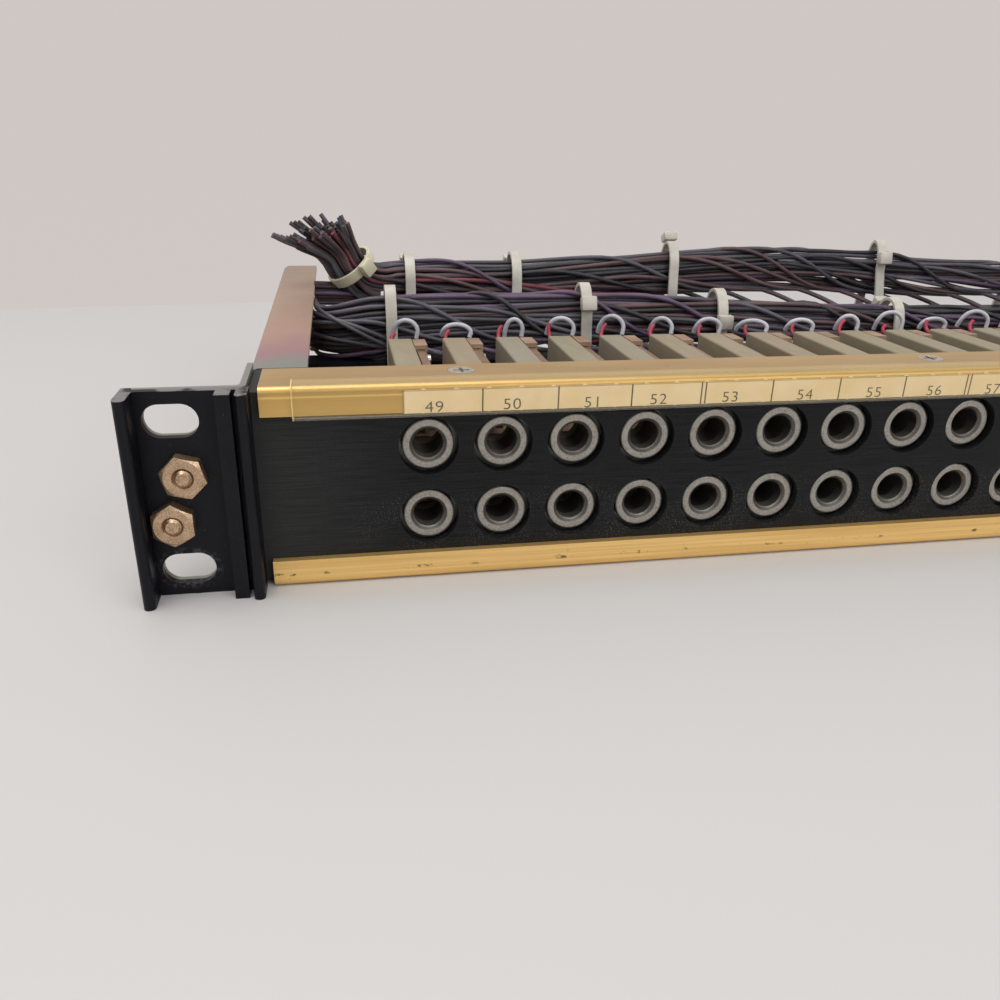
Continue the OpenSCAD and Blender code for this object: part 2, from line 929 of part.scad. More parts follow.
// Moulded block that carries the leaves beside the bar
module insulator() {
  front = insulator_end - insulator_l;
  difference() {
    box([bar_w / 2, front, -bar_h / 2], [bar_w / 2 + insulator_w, insulator_end, bar_h / 2]);
    for (s = [-1, 1])
      mirror([0, 0, s < 0 ? 1 : 0]) {
        box([leaf_x - swing_gap, front - past, leaf_z - swing_gap],
          [leaf_x + leaf_w + swing_gap, insulator_end + past, leaf_z + leaf_t + swing_gap]);
        box([leaf_x, front - past, normal_z],
          [leaf_x + leaf_w, insulator_end + past, normal_z + leaf_t]);
      }
    translate([0, hinge_y, 0])
      rod_x(insulator_screw_r + insulator_screw_gap, 0, bar_w + insulator_w);
  }
}

module insulators(row) {
  color([0.5, 0.38, 0.26])
    at_jacks(row)
      insulator();
}

module upper_insulators() {
  insulators(1);
}

module lower_insulators() {
  insulators(-1);
}

module insulator_screws(row) {
  face = bar_w / 2 + insulator_w;
  color([0.72, 0.7, 0.66])
    at_jacks(row)
      translate([0, hinge_y, 0])
        difference() {
          union() {
            rod_x(insulator_screw_r, bar_w / 2 - insulator_screw_l + past, face);
            rod_x(insulator_head_r, face, face + insulator_head_l);
          }
          translate([face + insulator_head_l, 0, 0])
            cube([insulator_head_l, screw_slot, 2 * insulator_head_r + past], center = true);
        }
}

module upper_insulator_screws() {
  insulator_screws(1);
}

module lower_insulator_screws() {
  insulator_screws(-1);
}

// Red lead that rises from the back of a bar in a quarter bend
module red_leads(row) {
  color([0.75, 0.15, 0.2])
    at_jacks(row)
      translate([-bar_w / 3, bar_end + lead_seat, bar_h / 2 - lead_r - lead_drop]) {
        rod_y(lead_r, 0, lead_run);
        translate([0, lead_run, lead_bend])
          rotate([0, 90, 0])
            rotate_extrude(angle = 90)
              translate([lead_bend, 0])
                circle(lead_r);
      }
}

module upper_red_leads() {
  red_leads(1);
}

module lower_red_leads() {
  red_leads(-1);
}

// White sleeve that arches over from the leaf's lug towards the cable
module sleeves(row) {
  color([0.85, 0.85, 0.86])
    at_jacks(row)
      translate([leaf_x + leaf_w / 2 - sleeve_bend, lug_end + sleeve_r - sleeve_in,
        leaf_z + leaf_t + lead_gap])
        rotate([90, 0, 0])
          rotate_extrude(angle = sleeve_turn)
            translate([sleeve_bend, 0])
              circle(sleeve_r);
}

module upper_sleeves() {
  sleeves(1);
}

module lower_sleeves() {
  sleeves(-1);
}

// Cable from the back of each jack into its bundle, level at first for the length out
module drops(row, route, bundle_y, tall, lean, out) {
  color([0.22, 0.21, 0.23])
    for (i = [0 : columns - 1]) {
      x = jack_x(i);
      mid = route_at(route, max(min(x + lean, drop_ends[1]), drop_ends[0]));
      half = bundle_size(mid[0], tall) + [drop_gap, drop_gap];
      from = [x + bar_w / 4, bar_end + drop_gap, jack_z(row)];
      to = [mid[0], bundle_y + mid[1] - half[0] * cos(drop_angle), mid[2] - half[1] * sin(drop_angle)];
      curve = [from, from + [0, out, 0], to - drop_in, to];
      sweep([for (k = [0 : drop_rings - 1]) bezier(curve, k / (drop_rings - 1))],
        [for (k = [0 : drop_rings - 1]) [cable_r, cable_r]], drop_sides, [1, 0, 0]);
    }
}

module upper_drops() {
  drops(1, front_route, front_bundle_y, front_tall, upper_drop_lean, upper_drop_out);
}

module lower_drops() {
  drops(-1, rear_route, rear_bundle_y, rear_tall, lower_drop_lean, lower_drop_out);
}

// Flat bar between the brackets, with its ends turned down
module lacing_bar(y, z) {
  reach = web_in - lacing_gap;
  color([0.75, 0.68, 0.55])
    translate([0, y, z])
      difference() {
        union() {
          box([-reach, -bar_y / 2, -lacing_t], [reach, bar_y / 2, 0]);
          for (s = [-1, 1])
            translate([s * (reach - lacing_t / 2), 0, -lacing_tab / 2])
              cube([lacing_t, bar_y, lacing_tab], center = true);
        }
        translate([0, 0, -lacing_tab / 2])
          rod_x(lacing_screw_r, -half_w, half_w);
      }
}

module front_lacing_bar() {
  lacing_bar(front_bundle_y, front_lacing_z);
}

module rear_lacing_bar() {
  lacing_bar(rear_bundle_y, rear_lacing_z);
}

module lacing_screws() {
  color([0.72, 0.7, 0.66])
    for (side = [-1, 1])
      on_side(side)
        for (b = [[front_bundle_y, front_lacing_z], [rear_bundle_y, rear_lacing_z]])
          translate([0, b[0], b[1] - lacing_tab / 2])
            difference() {
              union() {
                rod_x(lacing_screw_r - thread_gap, -web_out, -web_in + lacing_t + past);
                rod_x(lacing_head_r, -web_out - lacing_head_l, -web_out);
              }
              translate([-web_out - lacing_head_l, 0, 0])
                cube([lacing_head_l, screw_slot, 2 * lacing_head_r + past], center = true);
            }
}

module bundle(route, y, tall) {
  path = bundle_path(route, y);
  sweep(path, [for (p = path) bundle_size(p[0], tall) / (1 + bundle_wave)], bundle_sides, [0, 0, 1],
    bundle_lobes, bundle_wave, bundle_twist);
}

module front_bundle() {
  color([0.24, 0.2, 0.23])
    bundle(front_route, front_bundle_y, front_tall);
}

module rear_bundle() {
  color([0.26, 0.2, 0.21])
    bundle(rear_route, rear_bundle_y, rear_tall);
}

// Cut cables that fan out of a bundle's left end
module cut_ends(route, y, tall, reach, rise, spread) {
  path = bundle_path(route, y);
  n = len(path);
  mid = path[n - 1];
  ahead = unit(path[n - 1] - path[n - 2]);
  side = unit(cross(ahead, [0, 0, 1]));
  top = cross(side, ahead);
  half = bundle_size(mid[0], tall) - (cable_r + cut_edge) * [1, 1];
  for (k = [0 : cut_count - 1]) {
    a = golden_turn * k;
    d = sqrt((k + 0.5) / cut_count);
    out = cos(a) * side + sin(a) * top;
    from = mid + d * (half[0] * cos(a) * side + half[1] * sin(a) * top) + cut_gap * ahead;
    length = reach * (1 - cut_vary + cut_vary * cos(a * 2));
    tip = from + length * (ahead + spread * d * out + [0, 0, rise]);
    curve = [from, from + length / 3 * ahead, tip - length / 3 * unit(tip - from), tip];
    sweep([for (j = [0 : cut_rings - 1]) bezier(curve, j / (cut_rings - 1))],
      [for (j = [0 : cut_rings - 1]) [cut_r, cut_r]], cut_sides, side);
  }
}

module front_cut_ends() {
  color([0.24, 0.2, 0.23])
    cut_ends(front_route, front_bundle_y, front_tall, front_cut_reach, front_cut_rise, front_cut_spread);
}

module rear_cut_ends() {
  color([0.26, 0.2, 0.21])
    cut_ends(rear_route, rear_bundle_y, rear_tall, rear_cut_reach, rear_cut_rise, rear_cut_spread);
}

// The straight sides of a tie, from the bundle's middle down round a lacing bar whose middle is at y
module tie_loop(r, y, half, top, low) {
  polygon([[-r, 0], [y - half, top], [y - half, low], [y + half, low], [y + half, top], [r, 0]]);
}

// Tie round a bundle and its lacing bar, with its head at the front
module tie(mid, y, lacing_z, tall) {
  inner = bundle_size(mid[0], tall) + [tie_gap, tie_gap];
  outer = inner + [tie_t, tie_t];
  low = lacing_z - lacing_t - tie_gap - mid[2];
  top = lacing_z + tie_gap - mid[2];
  half = bar_y / 2 + tie_gap;
  translate([mid[0], y + mid[1], mid[2]]) {
    rotate([90, 0, 90])
      linear_extrude(height = tie_w, center = true)
        difference() {
          union() {
            scale(outer)
              circle(1);
            tie_loop(outer[0], -mid[1], half + tie_t, top, low - tie_t);
          }
          scale(inner)
            circle(1);
          tie_loop(inner[0], -mid[1], half, top, low);
        }
    translate([0, -outer[0] * cos(tie_head_turn), outer[1] * sin(tie_head_turn)])
      rotate([-tie_head_turn, 0, 0])
        translate([0, -tie_head_h / 2 + tie_head_sink, 0])
          cube([tie_head, tie_head_h, tie_head], center = true);
  }
}

// Tie round the bent end of a bundle, at point number at of its route, with its head to the right
module ring_tie(route, y, tall, at) {
  mid = through(route, at);
  ahead = unit(through(route, at + skim) - through(route, at - skim));
  r = bundle_size(mid[0], tall)[1] + tie_gap;
  translate(mid + [0, y, 0])
    rotate([0, acos(ahead[2]), atan2(ahead[1], ahead[0])]) {
      linear_extrude(height = tie_w, center = true)
        difference() {
          circle(r + tie_t);
          circle(r);
        }
      rotate([0, 0, fan_head_turn])
        translate([r + tie_t + tie_head_h / 2 - tie_head_sink, 0, 0])
          cube([tie_head_h, tie_head, tie_head], center = true);
    }
}

module front_ties() {
  color([0.88, 0.87, 0.82])
    for (p = front_tie_places)
      tie(route_at(front_route, jack_x(p[0]) + p[1]), front_bundle_y, front_lacing_z, front_tall);
}

module rear_ties() {
  color([0.88, 0.87, 0.82])
    for (p = rear_tie_places)
      tie(route_at(rear_route, jack_x(p[0]) + p[1]), rear_bundle_y, rear_lacing_z, rear_tall);
  color([0.88, 0.87, 0.82])
    ring_tie(rear_route, rear_bundle_y, rear_tall, fan_tie_at);
}

front_panel();
jack_plate();
top_rail();
bottom_rail();
top_rail_screws();
bottom_rail_screws();
label_cover();
label_strip();
left_ear();
right_ear();
left_bracket();
right_bracket();
ear_studs();
ear_nuts();
bracket_screws();
upper_bushings();
lower_bushings();
upper_frames();
lower_frames();
upper_tip_springs();
lower_tip_springs();
upper_ring_springs();
lower_ring_springs();
upper_normals();
lower_normals();
upper_insulators();
lower_insulators();
upper_insulator_screws();
lower_insulator_screws();
upper_red_leads();
lower_red_leads();
upper_sleeves();
lower_sleeves();
upper_drops();
lower_drops();
front_lacing_bar();
rear_lacing_bar();
lacing_screws();
front_bundle();
rear_bundle();
front_cut_ends();
rear_cut_ends();
front_ties();
rear_ties();
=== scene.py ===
# %% [markdown]
# # Dressing a rack patch bay
# The frame holds the solid parts of the bay at their real size: a black panel with
# two rows of jacks, gold label rails, ears, brackets and the harness behind. This
# lesson gives every part its finish, and makes the pieces that a solid can't show:
# the cables, ties, wires and the printed paper strip.

# %% Load the frame
import math
import random

import bpy
from mathutils import Matrix, Vector


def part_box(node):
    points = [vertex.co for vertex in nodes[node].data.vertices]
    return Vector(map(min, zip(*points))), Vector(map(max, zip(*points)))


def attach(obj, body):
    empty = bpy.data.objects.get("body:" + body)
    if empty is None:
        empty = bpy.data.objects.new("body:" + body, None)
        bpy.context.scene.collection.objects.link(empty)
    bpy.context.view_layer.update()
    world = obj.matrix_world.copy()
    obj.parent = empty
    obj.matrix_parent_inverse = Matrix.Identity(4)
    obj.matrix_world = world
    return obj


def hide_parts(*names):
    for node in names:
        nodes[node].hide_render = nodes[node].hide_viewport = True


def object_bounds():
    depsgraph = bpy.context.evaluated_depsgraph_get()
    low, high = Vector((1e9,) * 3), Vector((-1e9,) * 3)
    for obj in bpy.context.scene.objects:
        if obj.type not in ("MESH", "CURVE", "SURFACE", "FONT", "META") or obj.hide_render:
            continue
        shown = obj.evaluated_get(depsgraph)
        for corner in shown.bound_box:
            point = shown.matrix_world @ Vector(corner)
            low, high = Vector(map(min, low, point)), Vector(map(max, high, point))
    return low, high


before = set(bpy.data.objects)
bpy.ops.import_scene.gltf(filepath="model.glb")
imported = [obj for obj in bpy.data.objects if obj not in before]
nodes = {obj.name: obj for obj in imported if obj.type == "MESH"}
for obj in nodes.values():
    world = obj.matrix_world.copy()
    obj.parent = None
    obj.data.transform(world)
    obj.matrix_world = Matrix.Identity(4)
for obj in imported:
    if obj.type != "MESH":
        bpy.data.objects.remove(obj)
cad_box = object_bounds()
mm = 0.001
print("parts in the frame:", len(nodes))

# %% [markdown]
# ## Camera
# The camera stands close in front of the left ear, a little above the bay. It could be
# aimed by eye, but where it looks was worked out once from the slots and jacks, whose
# spacing is known. So its directions to the right and back are written as plain vectors,
# and up follows from those two.

# %% Camera
eye = Vector((-199.68, -168.25, 67.36)) * mm
to_right = Vector((0.9833, -0.18082, 0.02077))
to_back = Vector((-0.17453, -0.9044, 0.38935))
sensor, focal_share, nearest = 36, 0.8563, 5 * mm

bpy.ops.object.select_all(action="DESELECT")
bpy.ops.object.camera_add(location=eye)
camera = bpy.context.object
up = to_back.cross(to_right)
camera.rotation_euler = Matrix((to_right, up, to_back)).transposed().to_euler()
camera.data.sensor_width = sensor
camera.data.lens = focal_share * sensor
camera.data.clip_start = nearest
bpy.context.scene.camera = camera
print("lens", round(camera.data.lens, 2), "mm")

# %% [markdown]
# ## Shader maths as Python
# A finish is a small graph of nodes. Writing that graph as arithmetic keeps it
# readable: `Value` wraps one socket, and adding or multiplying values adds the Math
# node that does it. `Finish.node` makes every other kind of node.


# %% Values
class Value:
    """One socket of a finish, on which Python's operators add Math nodes."""

    def __init__(self, finish, socket):
        self.finish = finish
        self.socket = socket

    def math(self, operation, first, second=0):
        return self.finish.node("Math", {"operation": operation}, {0: first, 1: second})

    def __add__(self, other):
        return self.math("ADD", self, other)

    def __mul__(self, other):
        return self.math("MULTIPLY", self, other)

    def __sub__(self, other):
        return self.math("SUBTRACT", self, other)

    def __rsub__(self, other):
        return self.math("SUBTRACT", other, self)

    def __gt__(self, other):
        return self.math("GREATER_THAN", self, other)

    def __abs__(self):
        return self.math("ABSOLUTE", self)

    def root(self):
        return self.math("SQRT", self)

    def whole(self):
        return self.math("FLOOR", self)

    def fraction(self):
        return self.math("FRACT", self)

    __radd__ = __add__
    __rmul__ = __mul__


# %% Finishes
class Finish:
    """One material, made of nodes round a Principled shader."""

    def __init__(self, name, fixed):
        self.material = bpy.data.materials.new(name)
        self.material.use_nodes = True
        self.tree = self.material.node_tree
        self.shader = self.tree.nodes["Principled BSDF"]
        self.paint(fixed)

    def link(self, value, socket):
        if isinstance(value, Value):
            self.tree.links.new(value.socket, socket)
        else:
            socket.default_value = value

    def paint(self, sockets):
        for name, value in sockets.items():
            self.link(value, self.shader.inputs[name])

    def node(self, kind, settings, sockets, out=0):
        made = self.tree.nodes.new("ShaderNode" + kind)
        for name, value in settings.items():
            if name == "stops":
                set_stops(made.color_ramp, value)
            else:
                setattr(made, name, value)
        for name, value in sockets.items():
            self.link(value, made.inputs[name])
        return Value(self, made.outputs[out])

    def axis(self, name):
        spot = self.node("TexCoord", {}, {}, "Object")
        return self.node("SeparateXYZ", {}, {0: spot}, name)

    def noise(self, size, stretch=(1, 1, 1), detail=3):
        """Noise whose grains are about size millimetres, divided by stretch along each axis."""
        spot = self.node("TexCoord", {}, {}, "Object")
        place = self.node("Mapping", {}, {"Vector": spot, "Scale": stretch})
        sockets = {"Vector": place, "Scale": 1 / (size * mm), "Detail": detail}
        return self.node("TexNoise", {}, sockets)

    def ramp(self, value, stops):
        return self.node("ValToRGB", {"stops": stops}, {0: value})

    def between(self, value, low, high):
        """0 at low and beyond it, 1 at high and beyond it. Low may be the larger one."""
        sockets = {"Value": value, "From Min": low, "From Max": high}
        return self.node("MapRange", {"clamp": True}, sockets)

    def mix(self, share, first, second):
        return self.node("Mix", {"data_type": "RGBA"}, {0: share, 6: first, 7: second}, 2)

    def bump(self, height, depth):
        sockets = {"Height": height, "Distance": depth * mm, "Strength": 1}
        self.paint({"Normal": self.node("Bump", {}, sockets)})

    def done(self):
        print("finish", self.material.name, "with", len(self.tree.nodes), "nodes")
        return self.material


# %% Colours
def set_stops(ramp, stops):
    while len(ramp.elements) < len(stops):
        ramp.elements.new(1)
    for element, (place, colour) in zip(ramp.elements, stops):
        element.position = place
        element.color = colour


def rgb(red, green, blue):
    """A colour as a paint chart gives it, from 0 to 255, turned into light."""
    part = [c / 255 for c in (red, green, blue)]
    return (*[p / 12.92 if p < 0.04045 else ((p + 0.055) / 1.055) ** 2.4 for p in part], 1)


# %% [markdown]
# ## Black panel and ears
# The panel is anodised and brushed along its length. A picture of brushed metal would
# repeat, so its grain is noise stretched far along X. It is greyer towards its left
# end, and pale dust lies round the lower jacks. The ears are smoother, with bare metal
# where the extrusion was sawn off and a scuffed rim round the lower slots: the distance
# from a slot's middle line, worked out from X and Z, finds that rim.

# %% Brushed panel
grey_start, grey_end = -186 * mm, -218 * mm
dust_start, dust_end = -202 * mm, -186 * mm
dust_z, dust_reach, dust_full = -10 * mm, 9 * mm, 4 * mm


def brushed_black():
    finish = Finish("brushed_black", {"Specular IOR Level": 0.18})
    grain = finish.noise(0.24, (0.02, 1, 1), 2)
    left = finish.between(finish.axis("X"), grey_start, grey_end)
    tone = finish.ramp(grain, [(0.34, rgb(8, 9, 11)), (0.66, rgb(27, 28, 30))])
    tone = finish.mix(left * (0.15 + 0.6 * grain), tone, rgb(62, 63, 62))
    low = finish.between(abs(finish.axis("Z") - dust_z), dust_reach, dust_full)
    near = finish.between(finish.axis("X"), dust_start, dust_end)
    dust = finish.between(finish.noise(0.3, detail=4), 0.56, 0.66)
    dust = dust * finish.between(finish.noise(9), 0.3, 0.6) * (low * near * 0.8 + 0.14)
    finish.paint({"Base Color": finish.mix(dust * 0.55, tone, rgb(128, 124, 118))})
    finish.paint({"Roughness": grain * 0.2 + 0.42})
    finish.bump(grain, 0.012)
    return finish.done()


# %% Smooth ears
ear_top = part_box("left_ear")[1].z
slot_x, slot_z, slot_flat, slot_r = 232.55 * mm, -15.875 * mm, 1.9 * mm, 3.5 * mm
scuff_w, sawn_t = 1.5 * mm, 0.1 * mm
print("ears end", round(ear_top / mm, 2), "mm above the middle")


def satin_black():
    finish = Finish("satin_black", {"Specular IOR Level": 0.22})
    cloud = finish.noise(5)
    sawn = (abs(finish.axis("Z")) > ear_top - sawn_t) * finish.between(cloud, 0.4, 0.5)
    beside = abs(abs(finish.axis("X")) - slot_x) - slot_flat
    beside = beside * (beside > 0)
    above = finish.axis("Z") - slot_z
    reach = (beside * beside + above * above).root()
    scuff = finish.between(finish.noise(0.8), 0.5, 0.62)
    scuff = scuff * finish.between(reach, slot_r + scuff_w, slot_r)
    speck = finish.between(finish.noise(0.3, detail=4), 0.7, 0.74)
    tone = finish.ramp(cloud, [(0.3, rgb(7, 8, 14)), (0.7, rgb(14, 15, 23))])
    tone = finish.mix(speck * 0.5, tone, rgb(110, 108, 108))
    tone = finish.mix(scuff * 0.5, tone, rgb(96, 94, 98))
    finish.paint({"Base Color": finish.mix(sawn, tone, rgb(140, 138, 138))})
    finish.paint({"Metallic": sawn * 0.7, "Roughness": cloud * 0.14 + 0.36})
    finish.bump(finish.noise(0.25, (1, 1, 0.03)), 0.008)
    return finish.done()


# %% [markdown]
# ## Gold rails
# The rails are satin gold and pitted here and there. Their flat top is tan, a painted
# reflection of the ceiling. Bright and dark lines along the upper rail's front are painted
# highlights and shade, where its rounded edge catches the light. They could be modelled
# as tiny steps, but they are straight all along, so a colour ramp over the height paints
# them. The pits are noise that is cut off high, most of them in one row on the lower rail.

# %% Gold rails
rail_low, rail_top = (corner.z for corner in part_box("top_rail"))
flat_start, flat_full = rail_top - 0.25 * mm, rail_top - 0.02 * mm
pit_row_z, pit_reach, pit_full = -19 * mm, 0.5 * mm, 0.25 * mm
left_start, left_end = -150 * mm, -216 * mm
# Painted highlights and shade: bright and dark bands down the upper rail's rounded front edge.
painted_edge_light_tones = [
    (0.0, rgb(196, 162, 106)), (0.05, rgb(216, 184, 122)), (0.1, rgb(176, 140, 82)),
    (0.15, rgb(212, 175, 106)), (0.2, rgb(182, 146, 84)), (0.3, rgb(198, 160, 94)),
    (0.35, rgb(255, 224, 138)), (0.41, rgb(204, 165, 93)), (1.0, rgb(214, 175, 104)),
]
print("rail front", round((rail_top - rail_low) / mm, 2), "mm tall")


def gold_rail():
    finish = Finish("gold_rail", {"Metallic": 0.75})
    height = finish.axis("Z")
    grain = finish.noise(0.5, (0.01, 1, 1), 2)
    cloud = finish.noise(14, (0.3, 1, 1))
    flat = finish.between(abs(height), flat_start, flat_full)
    front = finish.ramp(grain, [(0.3, rgb(232, 189, 116)), (0.7, rgb(252, 213, 140))])
    # Painted reflection: the flat top is tan where it mirrors the ceiling.
    top = finish.ramp(cloud, [(0.35, rgb(180, 152, 110)), (0.65, rgb(196, 168, 124))])
    upper = (height > 0) * (1 - flat)
    # Painted highlights and shade along the upper rail's front edge, as a ramp over the height.
    painted_edge_light = finish.ramp(finish.between(height, rail_top, rail_low), painted_edge_light_tones)
    painted_edge_light = finish.mix(grain * 0.3, painted_edge_light, rgb(232, 190, 118))
    tone = finish.mix(upper * 0.85, finish.mix(flat, front, top), painted_edge_light)
    left = finish.between(finish.axis("X"), left_start, left_end) * upper
    tone = finish.mix(left * 0.15, tone, rgb(150, 118, 70))
    pit = finish.between(finish.noise(0.7, (0.4, 1, 1), 4), 0.68, 0.72)
    pit = pit * finish.between(finish.noise(16), 0.52, 0.62)
    dash = finish.between(abs(height - pit_row_z), pit_reach, pit_full)
    dash = dash * finish.between(finish.noise(1.2, (0.5, 1, 1), 4), 0.56, 0.6)
    pit = pit + dash * finish.between(finish.noise(9), 0.5, 0.6)
    finish.paint({"Base Color": finish.mix(pit * 0.8, tone, rgb(84, 62, 34))})
    finish.paint({"Roughness": grain * 0.14 + flat * 0.1 + 0.36})
    finish.bump(grain, 0.008)
    return finish.done()


# %% [markdown]
# ## Plated brackets
# The brackets carry a zinc plating whose tint drifts with the distance from the panel,
# from grey through pink to peach. A ramp along Y gives the drift, and a little noise
# keeps it from looking ruled.

# %% Plated brackets
bracket_start, bracket_end = 18 * mm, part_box("left_bracket")[1].y
plating = [
    (0.02, rgb(152, 157, 150)), (0.1, rgb(182, 142, 146)), (0.24, rgb(196, 162, 146)),
    (0.6, rgb(190, 163, 142)), (0.95, rgb(174, 152, 134)),
]
print("brackets reach back to", round(bracket_end / mm, 1), "mm")


def plated_steel():
    finish = Finish("plated_steel", {"Metallic": 0.8})
    along = finish.between(finish.axis("Y"), bracket_start, bracket_end)
    tone = finish.ramp(along + finish.noise(12, (1, 0.5, 1)) * 0.16 - 0.08, plating)
    stain = finish.between(finish.noise(2, detail=5), 0.6, 0.75)
    finish.paint({"Base Color": finish.mix(stain * 0.2, tone, rgb(150, 134, 118))})
    finish.paint({"Roughness": finish.noise(6) * 0.2 + 0.34})
    finish.bump(finish.noise(0.6), 0.006)
    return finish.done()


# %% [markdown]
# ## Nickel jack noses
# Each nose is matt nickel. Its mouth is darkened with painted shade, and the lower wall of
# the bore is left lighter, a painted highlight where light reaches in. All 48 are alike, so
# they could share a map that is painted once. Here the fraction of X and of Z over the
# spacing tells where a point lies within its own jack, and one formula shades them all.

# %% Nickel noses
columns = 24
pitch = row_gap = 15.875 * mm
mouth_out, mouth_in = 4.05 * mm, 3.85 * mm
bore_out, bore_in = 3.5 * mm, 3.35 * mm
shade_low, shade_high = -3 * mm, 0.5 * mm
print(2 * columns, "jacks", round(pitch / mm, 3), "mm apart")


def worn_nickel():
    finish = Finish("worn_nickel", {"Metallic": 0.8})
    fine = finish.noise(0.2, detail=4)
    stops = [(0.3, rgb(124, 119, 112)), (0.52, rgb(168, 163, 155)), (0.75, rgb(190, 186, 177))]
    grime = finish.between(finish.noise(1.6), 0.58, 0.74)
    tone = finish.mix(grime * 0.35, finish.ramp(fine, stops), rgb(112, 102, 92))
    across = ((finish.axis("X") * (1 / pitch)).fraction() - 0.5) * pitch
    height = ((finish.axis("Z") * (1 / row_gap)).fraction() - 0.5) * row_gap
    reach = (across * across + height * height).root()
    # Painted shade inside the mouth and bore, lighter on the bore's lower wall where light falls
    # in.
    inside = finish.between(reach, mouth_out, mouth_in)
    bore = finish.between(reach, bore_out, bore_in)
    shade = finish.between(height, shade_low, shade_high) * 0.85 + 0.15
    dark = inside * (1.05 - 0.35 * fine) * (0.8 * (1 - bore) + shade * bore)
    finish.paint({"Base Color": finish.mix(dark, tone, rgb(60, 55, 50))})
    finish.paint({"Roughness": fine * 0.2 + 0.4})
    finish.bump(fine, 0.012)
    return finish.done()


# %% [markdown]
# ## Bars, screws and leaves
# The jack bodies behind the panel are chromated bars, each of a slightly different tint.
# One material is enough for all of them: X over the spacing, cut to a whole number, counts
# the bars, and white noise turns that count into a tint. Screws, nuts and spring leaves
# share one speckled metal in three colours.


# %% Bars and small metal parts
def chromated_bar():
    finish = Finish("chromated_bar", {"Metallic": 0.1})
    bar = (finish.axis("X") * (1 / pitch) + columns).whole()
    tint = finish.node("TexWhiteNoise", {"noise_dimensions": "1D"}, {"W": bar})
    stops = [(0.0, rgb(162, 150, 126)), (0.3, rgb(152, 143, 118)), (0.5, rgb(156, 147, 132))]
    tone = finish.ramp(tint, [*stops, (0.72, rgb(164, 144, 122)), (0.95, rgb(152, 145, 122))])
    cloud = finish.noise(3.5, (1, 0.3, 1))
    finish.paint({"Base Color": finish.mix(cloud * 0.55, tone, rgb(128, 118, 96))})
    finish.paint({"Roughness": cloud * 0.25 + 0.4})
    finish.bump(finish.noise(0.5), 0.01)
    return finish.done()


def speckled_metal(name, dark, light, rough):
    finish = Finish(name, {"Metallic": 0.9})
    fine = finish.noise(0.3, detail=4)
    cloud = finish.noise(2.5)
    speckle = fine * 0.7 + cloud * 0.3
    finish.paint({"Base Color": finish.ramp(speckle, [(0.36, dark), (0.6, light)])})
    finish.paint({"Roughness": cloud * 0.2 + rough})
    finish.bump(fine, 0.008)
    return finish.done()


# %% [markdown]
# ## Clear cover, paper and cable jackets
# The clear cover has yellowed, so it tints what lies under it. Light that bends through it
# would take long to render, so a low alpha stands in for that. It rises where the cover
# turns away from the eye, at its cut ends and on the lip below the rail. The cut ends are
# also painted pale, a painted highlight where their edges catch the light. The paper
# carries a thin painted shadow along its top edge and at its left end. Cable jackets are
# soft vinyl, dusty and a little uneven along their length.

# %% Clear cover
cover_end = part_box("label_cover")[1].x
cut_start, cut_full = cover_end - 0.3 * mm, cover_end - 0.15 * mm
lip_start, lip_full = rail_low + 0.05 * mm, rail_low - 0.1 * mm
print("cover ends", round(cover_end / mm, 1), "mm from the middle")


def clear_cover():
    finish = Finish("clear_cover", {"Roughness": 0.16})
    edge = finish.node("LayerWeight", {}, {"Blend": 0.3}, "Facing")
    # The pale colour at the cut ends is a painted highlight where their edges catch the light.
    cut = finish.between(abs(finish.axis("X")), cut_start, cut_full)
    lip = finish.between(finish.axis("Z"), lip_start, lip_full)
    tone = finish.mix(lip, rgb(206, 186, 120), rgb(196, 188, 172))
    finish.paint({"Base Color": finish.mix(cut, tone, rgb(246, 222, 166))})
    haze = edge * 0.22 + finish.noise(7) * 0.05
    finish.paint({"Alpha": haze + cut * 0.42 + lip * 0.09 + 0.04})
    return finish.done()


# %% Paper and vinyl
strip_low, strip_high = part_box("label_strip")
# Where the paper's painted shadow lines lie: under its top edge and at its left end.
rim_z, rim_reach, rim_full = strip_high.z - 0.1 * mm, 0.16 * mm, 0.08 * mm
left_shadow_start, left_shadow_full = strip_low.x + 0.25 * mm, strip_low.x + 0.1 * mm
print("paper strip", round((strip_high.x - strip_low.x) / mm, 1), "mm long")


def old_paper():
    finish = Finish("old_paper", {"Roughness": 0.8})
    fibre = finish.noise(0.4, (0.4, 1, 1), 4)
    tone = finish.ramp(finish.noise(6), [(0.35, rgb(246, 220, 172)), (0.65, rgb(252, 230, 188))])
    tone = finish.mix(fibre * 0.3, tone, rgb(232, 204, 158))
    # Painted contact shadow: a thin dark line under the top edge and along the left end.
    rim = finish.between(abs(finish.axis("Z") - rim_z), rim_reach, rim_full)
    left_edge_shadow = finish.between(finish.axis("X"), left_shadow_start, left_shadow_full)
    finish.paint({"Base Color": finish.mix(rim * 0.5 + left_edge_shadow * 0.5, tone, rgb(104, 78, 44))})
    finish.bump(fibre, 0.02)
    return finish.done()


def vinyl(name, dark, light, rough):
    finish = Finish(name, {"Specular IOR Level": 0.4})
    cloud = finish.noise(7, (0.4, 1, 1))
    dust = finish.between(finish.noise(0.5, detail=4), 0.62, 0.75)
    tone = finish.ramp(cloud, [(0.35, dark), (0.65, light)])
    finish.paint({"Base Color": finish.mix(dust * 0.2, tone, rgb(150, 146, 144))})
    finish.paint({"Roughness": cloud * 0.2 + rough})
    finish.bump(finish.noise(0.8), 0.015)
    return finish.done()


# %% [markdown]
# ## Finishes on the solid parts
# The solid parts keep their shape and only get a finish. A table from part to finish is
# easier to check than one assignment after another.


# %% Give the solid parts their finishes
def coat(piece, material):
    piece.data.materials.clear()
    piece.data.materials.append(material)


